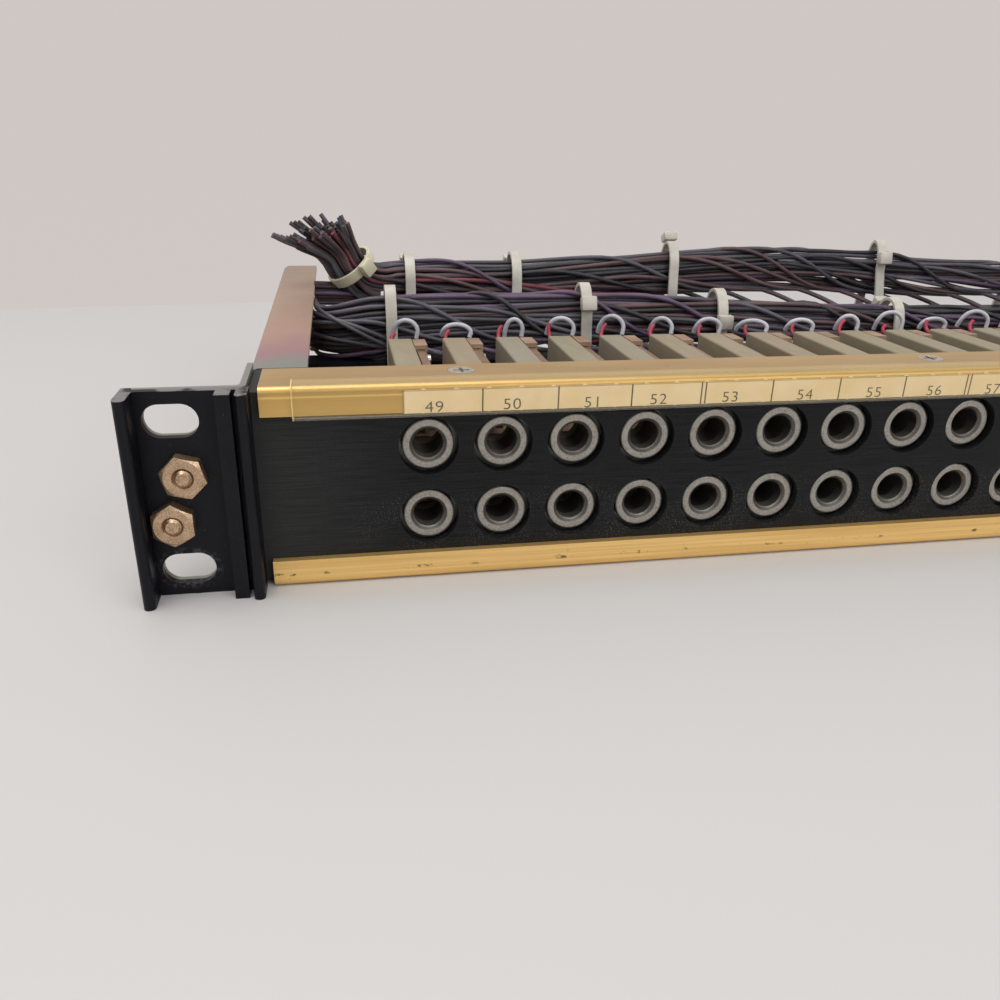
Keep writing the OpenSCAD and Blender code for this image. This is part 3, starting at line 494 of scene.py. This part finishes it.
nickel_screw = speckled_metal("nickel_screw", rgb(150, 142, 130), rgb(222, 216, 204), 0.18)
bronze_nut = speckled_metal("bronze_nut", rgb(150, 122, 97), rgb(214, 184, 152), 0.26)
bronze_leaf = speckled_metal("bronze_leaf", rgb(136, 108, 90), rgb(186, 156, 134), 0.34)
plated = plated_steel()
nickel = worn_nickel()
bar_finish = chromated_bar()
black_ear = satin_black()
gold = gold_rail()
insulator = vinyl("fibre_insulator", rgb(136, 110, 90), rgb(164, 138, 116), 0.5)

finishes = {
    "front_panel": brushed_black(), "left_ear": black_ear, "right_ear": black_ear,
    "top_rail": gold, "bottom_rail": gold, "jack_plate": plated,
    "left_bracket": plated, "right_bracket": plated,
    "front_lacing_bar": black_ear, "rear_lacing_bar": black_ear,
    "label_cover": clear_cover(), "ear_studs": bronze_nut, "ear_nuts": bronze_nut,
}
for name in ("top_rail_screws", "bottom_rail_screws", "bracket_screws", "lacing_screws"):
    finishes[name] = nickel_screw
for row_name in ("upper", "lower"):
    finishes[row_name + "_bushings"] = nickel
    finishes[row_name + "_frames"] = bar_finish
    finishes[row_name + "_insulators"] = insulator
    finishes[row_name + "_insulator_screws"] = nickel_screw
    for leaf in ("_tip_springs", "_ring_springs", "_normals"):
        finishes[row_name + leaf] = bronze_leaf
for name, material in finishes.items():
    coat(nodes[name], material)
print("solid parts with a finish:", len(finishes))

# %% [markdown]
# ## Where the jacks and bundles are
# The harness keeps close to the middle lines of the solid bundles: a given list of
# points for each, in millimetres, with a smooth curve through them. The front bundle is
# squeezed tall between the jacks and the rear one. How tall is known at a few places, and
# a straight share between them does for the rest.

# %% Places and routes
bar_half_w, bar_half_h, bar_end = 3.5 * mm, 5.3 * mm, 79 * mm
per_jack = 3
strands = per_jack * columns
cable_r = 0.75 * mm
front_y, rear_y = 101 * mm, 141 * mm
front_lacing_z, rear_lacing_z = 2.4 * mm, 8 * mm
front_route = [
    (176, -2, 11), (150, 0, 11), (120, 1, 11.5), (90, 0, 11.5), (60, -1, 11.5), (30, 0, 11.5),
    (0, 1, 11.5), (-30, 0, 12), (-60, 0, 13), (-90, 0, 14), (-120, 0, 14.3), (-145, 0, 13.9),
    (-165, 0, 13.7), (-182, 0, 13.2), (-191, 0.3, 12.4), (-199, 3, 10.8), (-204, 8.5, 9.8),
    (-205.5, 16, 9.4),
]
rear_route = [
    (178, -4, 19), (150, -1, 21), (120, 0, 22), (90, 1, 22), (60, 0, 21.4), (30, 0, 22),
    (0, 1, 23.6), (-25, 0, 24.9), (-50, 0, 24.6), (-80, 0, 23.5), (-112, 0, 21.8),
    (-137, 0, 20.4), (-160, 0, 20.8), (-178, 0, 20.8), (-185, -2, 20.6), (-190.5, -4.5, 22),
    (-194.5, -6.5, 26), (-197, -7.5, 30.5),
]
front_tall = [(-204, 1.15), (-189, 1.46), (-110, 1.42), (-30, 1.15)]
rear_tall = [(-182, 1.0), (-160, 1.15), (-112, 1.28), (-80, 1.4), (-37, 1.65), (40, 1.9)]
print("cables in a bundle:", strands)


# %% Curves through the routes
line_steps = 8


def jack_x(i):
    return (i - (columns - 1) / 2) * pitch


def through(points, t):
    """The point at t on a smooth curve through points, where t counts the points."""
    i = min(int(t), len(points) - 2)
    a, b, c, d = (points[min(max(k, 0), len(points) - 1)] for k in (i - 1, i, i + 1, i + 2))
    f = t - i
    curved = (2 * a - 5 * b + 4 * c - d) * f**2 + (3 * b - a - 3 * c + d) * f**3
    return 0.5 * (2 * b + (c - a) * f + curved)


def rounded(points, steps):
    """Points of a smooth curve through a few given ones."""
    return [through(points, k / steps) for k in range((len(points) - 1) * steps + 1)]


def middle_line(route, y):
    """A route's line in metres, in steps so short that they may be straight."""
    return rounded([Vector((p[0] * mm, y + p[1] * mm, p[2] * mm)) for p in route], line_steps)


def tallness(x, tall):
    """How much taller than round a bundle is at x, from the places where that is known."""
    if x <= tall[0][0] * mm:
        return tall[0][1]
    for (x0, s0), (x1, s1) in zip(tall, tall[1:]):
        if x <= x1 * mm:
            return s0 + (s1 - s0) * (x / mm - x0) / (x1 - x0)
    return tall[-1][1]


def smooth_step(t):
    t = min(max(t, 0), 1)
    return t * t * (3 - 2 * t)


def bezier(p, t):
    s = 1 - t
    return s**3 * p[0] + 3 * s * s * t * p[1] + 3 * s * t * t * p[2] + t**3 * p[3]


# %% [markdown]
# ## Cables
# Three thin cables leave the back of each jack, drop to the bundle, wind to a place of
# their own in it, run to the left and end cut off. A tube could be swept with a spin or
# an array, but a curve with a round bevel is quicker, and turning it into a mesh
# afterwards fixes its shape. The places in a bundle follow the golden angle, as seeds in
# a flower do, so that the cables lie close without any two in one place.


# %% Cable tools
def curve_to_mesh(name, curve):
    """An object of a curve, turned into a mesh and left as the only one selected."""
    piece = bpy.data.objects.new(name, curve)
    bpy.context.scene.collection.objects.link(piece)
    bpy.ops.object.select_all(action="DESELECT")
    piece.select_set(True)
    bpy.context.view_layer.objects.active = piece
    bpy.ops.object.convert(target="MESH")
    return piece


def tubes(name, paths, radius, material):
    """One mesh of round tubes along several paths."""
    curve = bpy.data.curves.new(name, "CURVE")
    curve.dimensions = "3D"
    curve.bevel_depth = radius
    curve.bevel_resolution = 2
    curve.use_fill_caps = True
    for path in paths:
        spline = curve.splines.new("POLY")
        spline.points.add(len(path) - 1)
        for point, spot in zip(spline.points, path):
            point.co = (*spot, 1)
    piece = curve_to_mesh(name, curve)
    bpy.ops.object.shade_smooth_by_angle(angle=math.radians(50))
    coat(piece, material)
    return piece


# %% Ends of one cable
wire_gap, cable_step = 0.4 * mm, 2.1 * cable_r
drop_steps, tip_steps = 16, 6
short_side, short_share, ahead_share = Vector((0.6, 0, 0.8)), 0.3, 0.8


def drop_path(n, bundle, join_spot):
    """From the back of the cable's jack to the place where it joins the bundle."""
    x = jack_x(n // per_jack) + bar_half_w / 2 + (n % per_jack - 1) * cable_step
    start = Vector((x, bar_end + wire_gap, bundle["row"] * row_gap / 2))
    leave, come = (Vector(bundle[key]) * mm for key in ("out", "come"))
    control = [start, start + leave, join_spot + come, join_spot]
    return [bezier(control, k / drop_steps) for k in range(drop_steps)]


def tip_path(end, ahead, outward, spread, bundle, chance):
    """From the bundle's end to the cut end, spread outward and pulled to one side."""
    length = bundle["reach"] * mm * chance.uniform(0.6, 1.0)
    length = length * (1 - short_share * outward.dot(short_side))
    tip = end + length * (ahead_share * ahead + spread * outward + Vector(bundle["pull"]))
    back = (end - tip).normalized()
    control = [end, end + length / 3 * ahead, tip + length / 3 * back, tip]
    return [bezier(control, k / tip_steps) for k in range(1, tip_steps + 1)]


# %% Path of one cable
golden = math.radians(137.5)
packing, least_reach = 0.77 * mm, 1.5 * mm
join_first, join_last = -180 * mm, 174 * mm
slow_wave, quick_wave, wander = 60 * mm, 17 * mm, 0.5


def bundle_reach(rank):
    return packing * math.sqrt(rank)


def cable_path(n, line, bundle, chance):
    """Cable n of a row, from its jack into the bundle along line, and out of its left end."""
    rank = strands - 1 - n
    join_x = max(min(jack_x(n // per_jack) + bundle["lean"] * mm, join_last), join_first)
    join_turn = math.radians(bundle["turn"])
    gap = (golden * rank - join_turn + math.pi) % (2 * math.pi) - math.pi
    reach = max(bundle_reach(rank), least_reach) + cable_r
    phase, sway = chance.uniform(0, 6.3), chance.uniform(0.1, 0.35) * mm
    first = next(k for k, p in enumerate(line) if p.x <= join_x)
    path = []
    for k in range(first, len(line)):
        ahead = (line[min(k + 1, len(line) - 1)] - line[k - 1]).normalized()
        side = ahead.cross(Vector((0, 0, 1))).normalized()
        top = side.cross(ahead)
        run = join_x - line[k].x
        share = smooth_step(run / (bundle["wrap"] * mm))
        turn = join_turn + gap * share + wander * share * math.sin(run / slow_wave + phase)
        own = bundle_reach(rank) + sway * math.sin(run / quick_wave + phase)
        s = tallness(line[k].x, bundle["tall"])
        outward = math.cos(turn) / s * side + math.sin(turn) * s * top
        path.append(line[k] + (reach + (own - reach) * share) * outward)
    spread = bundle["spread"] * bundle_reach(rank) / bundle_reach(strands - 1)
    tip = tip_path(path[-1], ahead, outward, spread, bundle, chance)
    return drop_path(n, bundle, path[0]) + path + tip


# %% Cables below the fan
strays, stray_gap = 10, 1.5
stray_route = [
    (-120, 0, 18), (-145, 0, 12), (-163, 0, 11.6), (-178, -1, 12.6), (-192, -5, 14.2),
    (-207, -9, 15),
]
stray_rise = [0, 0, 0, 0.2, 0.55, 0.65]


def stray_path(n):
    """A cable that leaves the rear bundle from below and goes on to the left, under the fan."""
    beside = (2 * n % 5 - 2) * stray_gap
    points = [(x, y + beside, z + rise * n) for (x, y, z), rise in zip(stray_route, stray_rise)]
    return middle_line(points, rear_y)


# %% [markdown]
# ## The two bundles
# Both bundles are made alike, so each is a short table. A cable goes straight `out` of its
# jack, joins the bundle `lean` millimetres beside it at the angle `turn`, and nears that
# place from where `come` says. It takes `wrap` millimetres to wind to its own place. Its
# cut end is up to `reach` long, and `spread` and `pull` open the fan. The letters give the
# colours in the order of the cables.

# %% Jackets and mixes
jackets = {
    "grey": vinyl("jacket_grey", rgb(68, 66, 72), rgb(93, 91, 99), 0.34),
    "black": vinyl("jacket_black", rgb(40, 38, 42), rgb(58, 56, 60), 0.36),
    "violet": vinyl("jacket_violet", rgb(78, 61, 83), rgb(102, 84, 107), 0.36),
    "maroon": vinyl("jacket_maroon", rgb(80, 60, 63), rgb(104, 81, 83), 0.38),
    "rose": vinyl("jacket_rose", rgb(106, 50, 58), rgb(132, 68, 77), 0.38),
}
initials = {colour[0]: colour for colour in jackets}
mixes = {
    "front": "gvbgbgvg" + "bbgmvbgg" + "rgvgbmgb" + "gbvggbmg" + "vgbgmbgv" + "gbgvbgmb",
    "rear": "mbgmbvgm" + "bgmvgmgb" + "mgvbmgbm" + "brgmbvmg" + "bmgvmbgm" + "gmbvgmbg",
}

# %% The two bundles
front_bundle = {
    "name": "front", "row": 1, "route": front_route, "y": front_y, "tall": front_tall,
    "out": (0, 7, 0), "lean": -8, "come": (12, -4, -4), "turn": 220, "wrap": 46,
    "reach": 11, "spread": 0.1, "pull": (0, 0, 0), "strays": 0,
}
rear_bundle = {
    "name": "rear", "row": -1, "route": rear_route, "y": rear_y, "tall": rear_tall,
    "out": (0, 36, 0), "lean": -30, "come": (26, -2, -7), "turn": 258, "wrap": 64,
    "reach": 15, "spread": 0.4, "pull": (-0.22, 0, 0.04), "strays": strays,
}
for bundle in (front_bundle, rear_bundle):
    name = bundle["name"]
    chance = random.Random(name)
    line = middle_line(bundle["route"], bundle["y"])
    paths = [cable_path(n, line, bundle, chance) for n in range(strands)]
    paths += [stray_path(n) for n in range(bundle["strays"])]
    level = "upper" if bundle["row"] > 0 else "lower"
    mix = mixes[name]
    order = [initials[mix[n % len(mix)]] for n in range(len(paths))]
    for colour, jacket in jackets.items():
        mine = [p for n, p in enumerate(paths) if order[n] == colour]
        piece = tubes(f"{name}_cables_{colour}", mine, cable_r, jacket)
        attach(piece, "bay")
        "cable_maroon" if name == "rear" else "cable_grey"
        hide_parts(level + "_drops", name + "_bundle", name + "_cut_ends")
        print(piece.name, len(mine), "cables")

# %% [markdown]
# ## Wires at the back of each jack
# A white sleeve arches from the contact's lug to the cable, and a red wire rises from
# the frame. No two were bent alike by hand, so a seeded chance varies each a little:
# the same few points are widened, raised or leaned, and the curve goes through them.

# %% Sleeves and red wires
leaf_mid_x, leaf_top, lug_end = 5.2 * mm, 4 * mm, 84 * mm
sleeve_lift, sleeve_sink = 0.3 * mm, 0.2 * mm
red_drop, red_gap = 1.6 * mm, 0.2 * mm
bend_steps = 4
arch = [
    (0, 0, 0), (0.06, 0.3, 0.5), (-0.12, 1, 0.86), (-0.45, 2, 1), (-0.8, 3, 0.84),
    (-1, 4, 0.4), (-1.05, 5, -0.1),
]


def sleeve_path(i, row, chance):
    z = row * row_gap / 2 + leaf_top + sleeve_lift
    foot = Vector((jack_x(i) + leaf_mid_x, lug_end - sleeve_sink, z))
    width = chance.uniform(4.2, 7.4)
    tall = chance.uniform(3, 5.6)
    back = chance.uniform(0.4, 1.3)
    points = [foot + Vector((a * width, b * back, c * tall)) * mm for a, b, c in arch]
    return rounded(points, bend_steps)


def red_path(i, row, chance):
    z = row * row_gap / 2 + bar_half_h - red_drop
    foot = Vector((jack_x(i) - bar_half_w * 2 / 3, bar_end + red_gap, z))
    lean, tall = chance.uniform(-0.4, 2.4), chance.uniform(0.45, 1)
    rise = [(0, 0, 0), (0, 1.2, 0.1), (lean * 0.2, 3, 1.2), (lean * 0.6, 4, 3)]
    rise.append((lean + 0.6, 4.6, 4.4))
    return rounded([foot + Vector((a, b, c * tall)) * mm for a, b, c in rise], bend_steps)


white_sleeve = vinyl("white_sleeve", rgb(164, 165, 173), rgb(202, 203, 211), 0.3)
red_wire = vinyl("red_wire", rgb(138, 40, 58), rgb(174, 60, 80), 0.34)
chance = random.Random(24)
wires = [
    ("_sleeve_wires", sleeve_path, 0.68, white_sleeve, "white_sleeve", "_sleeves"),
    ("_red_wires", red_path, 0.6, red_wire, "red_wire", "_red_leads"),
]
for row_name, row in (("upper", 1), ("lower", -1)):
    for ending, path, radius, material, slot, solid in wires:
        paths = [path(i, row, chance) for i in range(columns)]
        piece = tubes(row_name + ending, paths, radius * mm, material)
        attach(piece, "bay")
        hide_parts(row_name + solid)
print("sleeves and red wires for", 2 * columns, "jacks")

# %% [markdown]
# ## Cable ties
# A tie is a flat strap that goes round the bundle and its lacing bar. Its outline is
# drawn flat, as one closed curve inside another, extruded to the strap's width, made
# a mesh, and only then turned into place. The head is a small bevelled block, which is
# modelled once and copied to each strap.

# %% Strap
tie_w, tie_t, tie_gap, tie_bevel = 3.4 * mm, 1.1 * mm, 0.45 * mm, 0.15 * mm
lacing_w, lacing_t = 12 * mm, 1.5 * mm
solid_cable_r, cable_fill, fewest = 1.3 * mm, 0.78, 3


def solid_halves(x, tall):
    """Half depth and half height of the solid bundle at x, from the cables that joined it."""
    joined = sum(jack_x(i) >= x - pitch for i in range(columns))
    r = solid_cable_r * math.sqrt(max(joined, fewest) / cable_fill)
    s = tallness(x, tall)
    return r / s, r * s


def oval(halves, first, last, turns=24):
    """Points of an oval from one angle to the other, without the last."""
    angles = [first + (last - first) * k / turns for k in range(turns)]
    return [(halves[0] * math.cos(a), halves[1] * math.sin(a)) for a in angles]


def loop_outline(halves, y, half, top, low):
    """Down one side round the bar, up the other, and over the bundle by an arc."""
    left, right = y - half, y + half
    corners = [(-halves[0], 0), (left, top), (left, low), (right, low), (right, top)]
    return corners + oval(halves, 0, math.pi)


def strap(name, outlines, place):
    curve = bpy.data.curves.new(name, "CURVE")
    curve.dimensions = "2D"
    curve.fill_mode = "BOTH"
    curve.extrude = tie_w / 2 - tie_bevel
    curve.bevel_depth = tie_bevel
    curve.offset = -tie_bevel
    for outline in outlines:
        spline = curve.splines.new("POLY")
        spline.points.add(len(outline) - 1)
        spline.use_cyclic_u = True
        for point, (a, b) in zip(spline.points, outline):
            point.co = (a, b, 0, 1)
    piece = curve_to_mesh(name, curve)
    piece.data.transform(place)
    return piece


# %% Head, copies and joining
head_size, head_bevel = Vector((5, 4.6, 3)) * mm, 0.6 * mm


def block(middle, size):
    """A box of a size about its middle, both kept in its mesh."""
    bpy.ops.object.select_all(action="DESELECT")
    bpy.ops.mesh.primitive_cube_add(size=1, location=middle)
    piece = bpy.context.object
    piece.scale = size
    bpy.ops.object.transform_apply(location=True, rotation=True, scale=True)
    return piece


def tie_head():
    head = block((0, 0, 0), head_size)
    bpy.ops.object.mode_set(mode="EDIT")
    bpy.ops.mesh.select_all(action="SELECT")
    bpy.ops.mesh.bevel(offset=head_bevel, segments=2)
    bpy.ops.object.mode_set(mode="OBJECT")
    return head


def head_place(spot, outward, across):
    """Where a head stands on its strap, its height along outward."""
    turn = Matrix((across, outward.cross(across), outward)).transposed().to_4x4()
    return Matrix.Translation(spot + outward * head_size.z / 2) @ turn


def copies(piece, places):
    """A copy of a piece at each place, with a mesh of its own. The first one goes."""
    made = []
    for place in places:
        twin = piece.copy()
        twin.data = piece.data.copy()
        twin.data.transform(place)
        bpy.context.scene.collection.objects.link(twin)
        made.append(twin)
    bpy.data.objects.remove(piece)
    return made


def join(pieces, name):
    bpy.ops.object.select_all(action="DESELECT")
    for piece in pieces:
        piece.select_set(True)
    bpy.context.view_layer.objects.active = pieces[0]
    bpy.ops.object.join()
    pieces[0].name = name
    return pieces[0]


# %% Ties of one bundle
def finish_ties(pieces, name, material, solid):
    ties = join(pieces, name)
    coat(ties, material)
    bpy.ops.object.shade_smooth_by_angle(angle=math.radians(35))
    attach(ties, "bay")
    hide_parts(solid)


def tie_pieces(name, line, y, lacing_z, tall, places):
    """Strap and head of each tie: column, shift along X, and where its head sits in degrees."""
    flat_to_side = Matrix(((0, 0, 1), (1, 0, 0), (0, 1, 0))).to_4x4()
    half = lacing_w / 2 + tie_gap
    straps, heads = [], []
    for number, (i, shift, head_turn) in enumerate(places):
        x = jack_x(i) + shift * mm
        k = next(k for k, p in enumerate(line) if p.x <= x)
        mid = line[k - 1].lerp(line[k], (line[k - 1].x - x) / (line[k - 1].x - line[k].x))
        inner = [h + tie_gap for h in solid_halves(x, tall)]
        outer = [h + tie_t for h in inner]
        top = lacing_z + tie_gap - mid.z
        low = lacing_z - lacing_t - tie_gap - mid.z
        outlines = [loop_outline(outer, y - mid.y, half + tie_t, top, low - tie_t)]
        outlines.append(loop_outline(inner, y - mid.y, half, top, low))
        place = Matrix.Translation(mid) @ flat_to_side
        straps.append(strap(f"{name}_strap_{number}", outlines, place))
        a = math.radians(head_turn)
        spot = mid + Vector((0, -outer[0] * math.cos(a), outer[1] * math.sin(a)))
        outward = Vector((0, -math.cos(a) / outer[0], math.sin(a) / outer[1])).normalized()
        heads.append(head_place(spot, outward, Vector((1, 0, 0))))
    return straps + copies(tie_head(), heads)


# %% Ties round both bundles
front_ties = [
    (0, -1.2, 150), (4, -3, 28), (7, -4.5, 0), (11, -3, 150), (15, -3, 35), (19, -3, 0),
    (22, -3, 35),
]
rear_ties = [(0, 8, 150), (3, -2, 150), (6, 9, 105), (12, -1.5, 25), (16, -2, 150), (20, -2, 35)]
nylon = vinyl("nylon_tie", rgb(184, 178, 168), rgb(208, 203, 192), 0.24)
front_line, rear_line = middle_line(front_route, front_y), middle_line(rear_route, rear_y)
pieces = tie_pieces("front", front_line, front_y, front_lacing_z, front_tall, front_ties)
finish_ties(pieces, "front_cable_ties", nylon, "front_ties")
pieces = tie_pieces("rear", rear_line, rear_y, rear_lacing_z, rear_tall, rear_ties)
finish_ties(pieces, "rear_cable_ties", nylon, "rear_ties")
print(len(front_ties) + len(rear_ties), "ties round the bundles")

# %% Tie round the fan
old_nylon = vinyl("yellowed_tie", rgb(206, 200, 172), rgb(224, 219, 192), 0.3)
ring_point, ring_gap, ring_turns = 16, 0.2 * mm, 40
ring_at = ring_point * line_steps
ring_mid = rear_line[ring_at]
ring_ahead = (rear_line[ring_at + 1] - rear_line[ring_at - 1]).normalized()
ring_r = bundle_reach(strands - 1) + cable_r + ring_gap
rings = [oval((r, r), 0, 2 * math.pi, ring_turns) for r in (ring_r + tie_t, ring_r)]
ring_turn = ring_ahead.to_track_quat("Z", "Y").to_matrix().to_4x4()
pieces = [strap("fan_strap", rings, Matrix.Translation(ring_mid) @ ring_turn)]
toward = Vector((0.46, -0.87, 0.15))
outward = (toward - toward.dot(ring_ahead) * ring_ahead).normalized()
place = head_place(ring_mid + outward * (ring_r + tie_t), outward, ring_ahead)
finish_ties(pieces + copies(tie_head(), [place]), "fan_tie", old_nylon, "rear_ties")
print("tie round the fan, radius", round(ring_r / mm, 2), "mm")

# %% [markdown]
# ## Printed paper strip
# The strip is a thin sheet, torn from a perforated roll, so small nibs stand along
# both edges: one nib is modelled and copied. The print could be a picture on the sheet,
# but numbers made as text stay sharp at any distance, and each stands a little off the
# middle of its cell, as typed ones do. They and the rules between the cells are thin meshes.

# %% Strip with its nibs
nib_step, nib_r, nib_t, nib_inset = 6.7 * mm, 0.55 * mm, 0.2 * mm, 0.15 * mm
nib_start, nib_flat = 0.6, 0.5
strip_mid = (strip_low + strip_high) / 2

paper = block(strip_mid, strip_high - strip_low)
bpy.ops.object.select_all(action="DESELECT")
bpy.ops.mesh.primitive_cylinder_add(vertices=6, radius=nib_r, depth=nib_t)
nib = bpy.context.object
nib.rotation_euler = (math.pi / 2, 0, 0)
nib.scale = (1, nib_flat, 1)
bpy.ops.object.transform_apply(location=True, rotation=True, scale=True)
count = int((strip_high.x - strip_low.x) / nib_step)
places = []
for edge in (strip_low.z + nib_inset, strip_high.z):
    for k in range(count):
        spot = ((k + nib_start) * nib_step + strip_low.x, strip_mid.y, edge)
        places.append(Matrix.Translation(spot))
paper = join([paper, *copies(nib, places)], "paper_strip")
coat(paper, old_paper())
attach(paper, "label_strip")
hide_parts("label_strip")
print("paper strip with", 2 * count, "nibs")

# %% Numbers
first_number = 49
proud = 0.02 * mm
ink_y = strip_low.y - proud / 2
digit_size, digit_thin, digit_step = 3.3 * mm, -0.02 * mm, 1.1
digit_widen, digit_share = 1.14, 0.13
upright = Matrix.Rotation(math.pi / 2, 4, "X") @ Matrix.Diagonal((digit_widen, 1, 1, 1))


def number(text):
    """A number as a thin upright mesh, its middle at the origin."""
    bpy.ops.object.select_all(action="DESELECT")
    bpy.ops.object.text_add()
    label = bpy.context.object
    label.data.body = text
    label.data.size = digit_size
    label.data.align_x = "CENTER"
    label.data.extrude = proud / 2
    label.data.offset = digit_thin
    label.data.space_character = digit_step
    bpy.ops.object.convert(target="MESH")
    label.data.transform(upright)
    return label


chance = random.Random(49)
digits = []
for i in range(columns):
    x = jack_x(i) + (digit_share + chance.uniform(-0.08, 0.12)) * pitch
    height = strip_low.z + chance.uniform(0.05, 0.3) * mm
    digits.append(number(str(first_number + i)))
    digits[-1].data.transform(Matrix.Translation((x, ink_y, height)))
print(len(digits), "numbers")

# %% Rules and ink
rule_w = 0.3 * mm
single_rule, double_rule = [0.686], [0.66, 0.72]

places = []
for i in range(columns):
    for share in double_rule if i % 4 == 3 else single_rule:
        x = jack_x(i) + share * pitch
        if x <= strip_high.x:
            places.append(Matrix.Translation((x, ink_y, strip_mid.z)))
rules = copies(block((0, 0, 0), (rule_w, proud, strip_high.z - strip_low.z)), places)
ink = vinyl("faded_ink", rgb(70, 68, 70), rgb(92, 90, 92), 0.6)
rule_ink = vinyl("rule_ink", rgb(62, 54, 50), rgb(88, 78, 70), 0.6)
for pieces, name, material in ((digits, "strip_numbers", ink), (rules, "strip_rules", rule_ink)):
    piece = join(pieces, name)
    coat(piece, material)
    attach(piece, "label_strip")
print(len(rules), "rules")

# %% [markdown]
# ## Stage and light
# A pale table whose far edge isn't quite square to the bay, a pale wall far behind it, a
# floor of the same tone below, and soft light from above. Wall and floor glow faintly, as
# evenly lit ones seem to, which is simpler than lighting them, and reach so far that the
# bay can also be looked at from behind.

# %% Table, wall and floor
floor_z = cad_box[0].z
edge_turn, edge_y, table_half = math.radians(5.4), 0.365, 4
wall_y, backdrop, floor_drop = 3.5, 40, 2 * mm
pale = Finish("pale_table", {"Base Color": rgb(198, 196, 195), "Roughness": 0.55}).done()
wall_paint = Finish("pale_wall", {"Base Color": rgb(14, 14, 14), "Specular IOR Level": 0})
wall_paint.paint({"Emission Color": rgb(206, 199, 195), "Emission Strength": 1.0})
glow = wall_paint.done()
table_y = edge_y - table_half * math.cos(edge_turn)
table_mid = (table_half * math.sin(edge_turn), table_y, floor_z)
for name, place, turn, size, material in (
    ("table", table_mid, (0, 0, edge_turn), 2 * table_half, pale),
    ("wall", (0, wall_y, 0), (math.pi / 2, 0, 0), backdrop, glow),
    ("far_floor", (0, 0, floor_z - floor_drop), (0, 0, 0), backdrop, glow),
):
    bpy.ops.object.select_all(action="DESELECT")
    bpy.ops.mesh.primitive_plane_add(size=size, location=place, rotation=turn)
    sheet = bpy.context.object
    sheet.name = name
    sheet.data.materials.append(material)
print("table at", round(floor_z / mm, 2), "mm")

# %% World and lamps
sky, sky_strength = (1, 0.985, 0.97, 1), 0.55
aim = Vector((-0.1, 0.03, 0))

world = bpy.data.worlds.new("studio")
world.use_nodes = True
world.node_tree.nodes["Background"].inputs["Color"].default_value = sky
world.node_tree.nodes["Background"].inputs["Strength"].default_value = sky_strength
bpy.context.scene.world = world
for name, place, power, size in (
    ("overhead", (-0.35, -0.1, 1.1), 9, 0.9),
    ("front_fill", (0.5, -1.1, 0.7), 5, 0.8),
):
    bpy.ops.object.select_all(action="DESELECT")
    bpy.ops.object.light_add(type="AREA", location=place)
    lamp = bpy.context.object
    lamp.name = name
    lamp.data.energy = power
    lamp.data.size = size
    lamp.rotation_euler = (aim - Vector(place)).to_track_quat("-Z", "Y").to_euler()
    print("lamp", name, power, "W")
bpy.context.scene.view_settings.view_transform = "Standard"

# %% The end
bpy.context.view_layer.update()
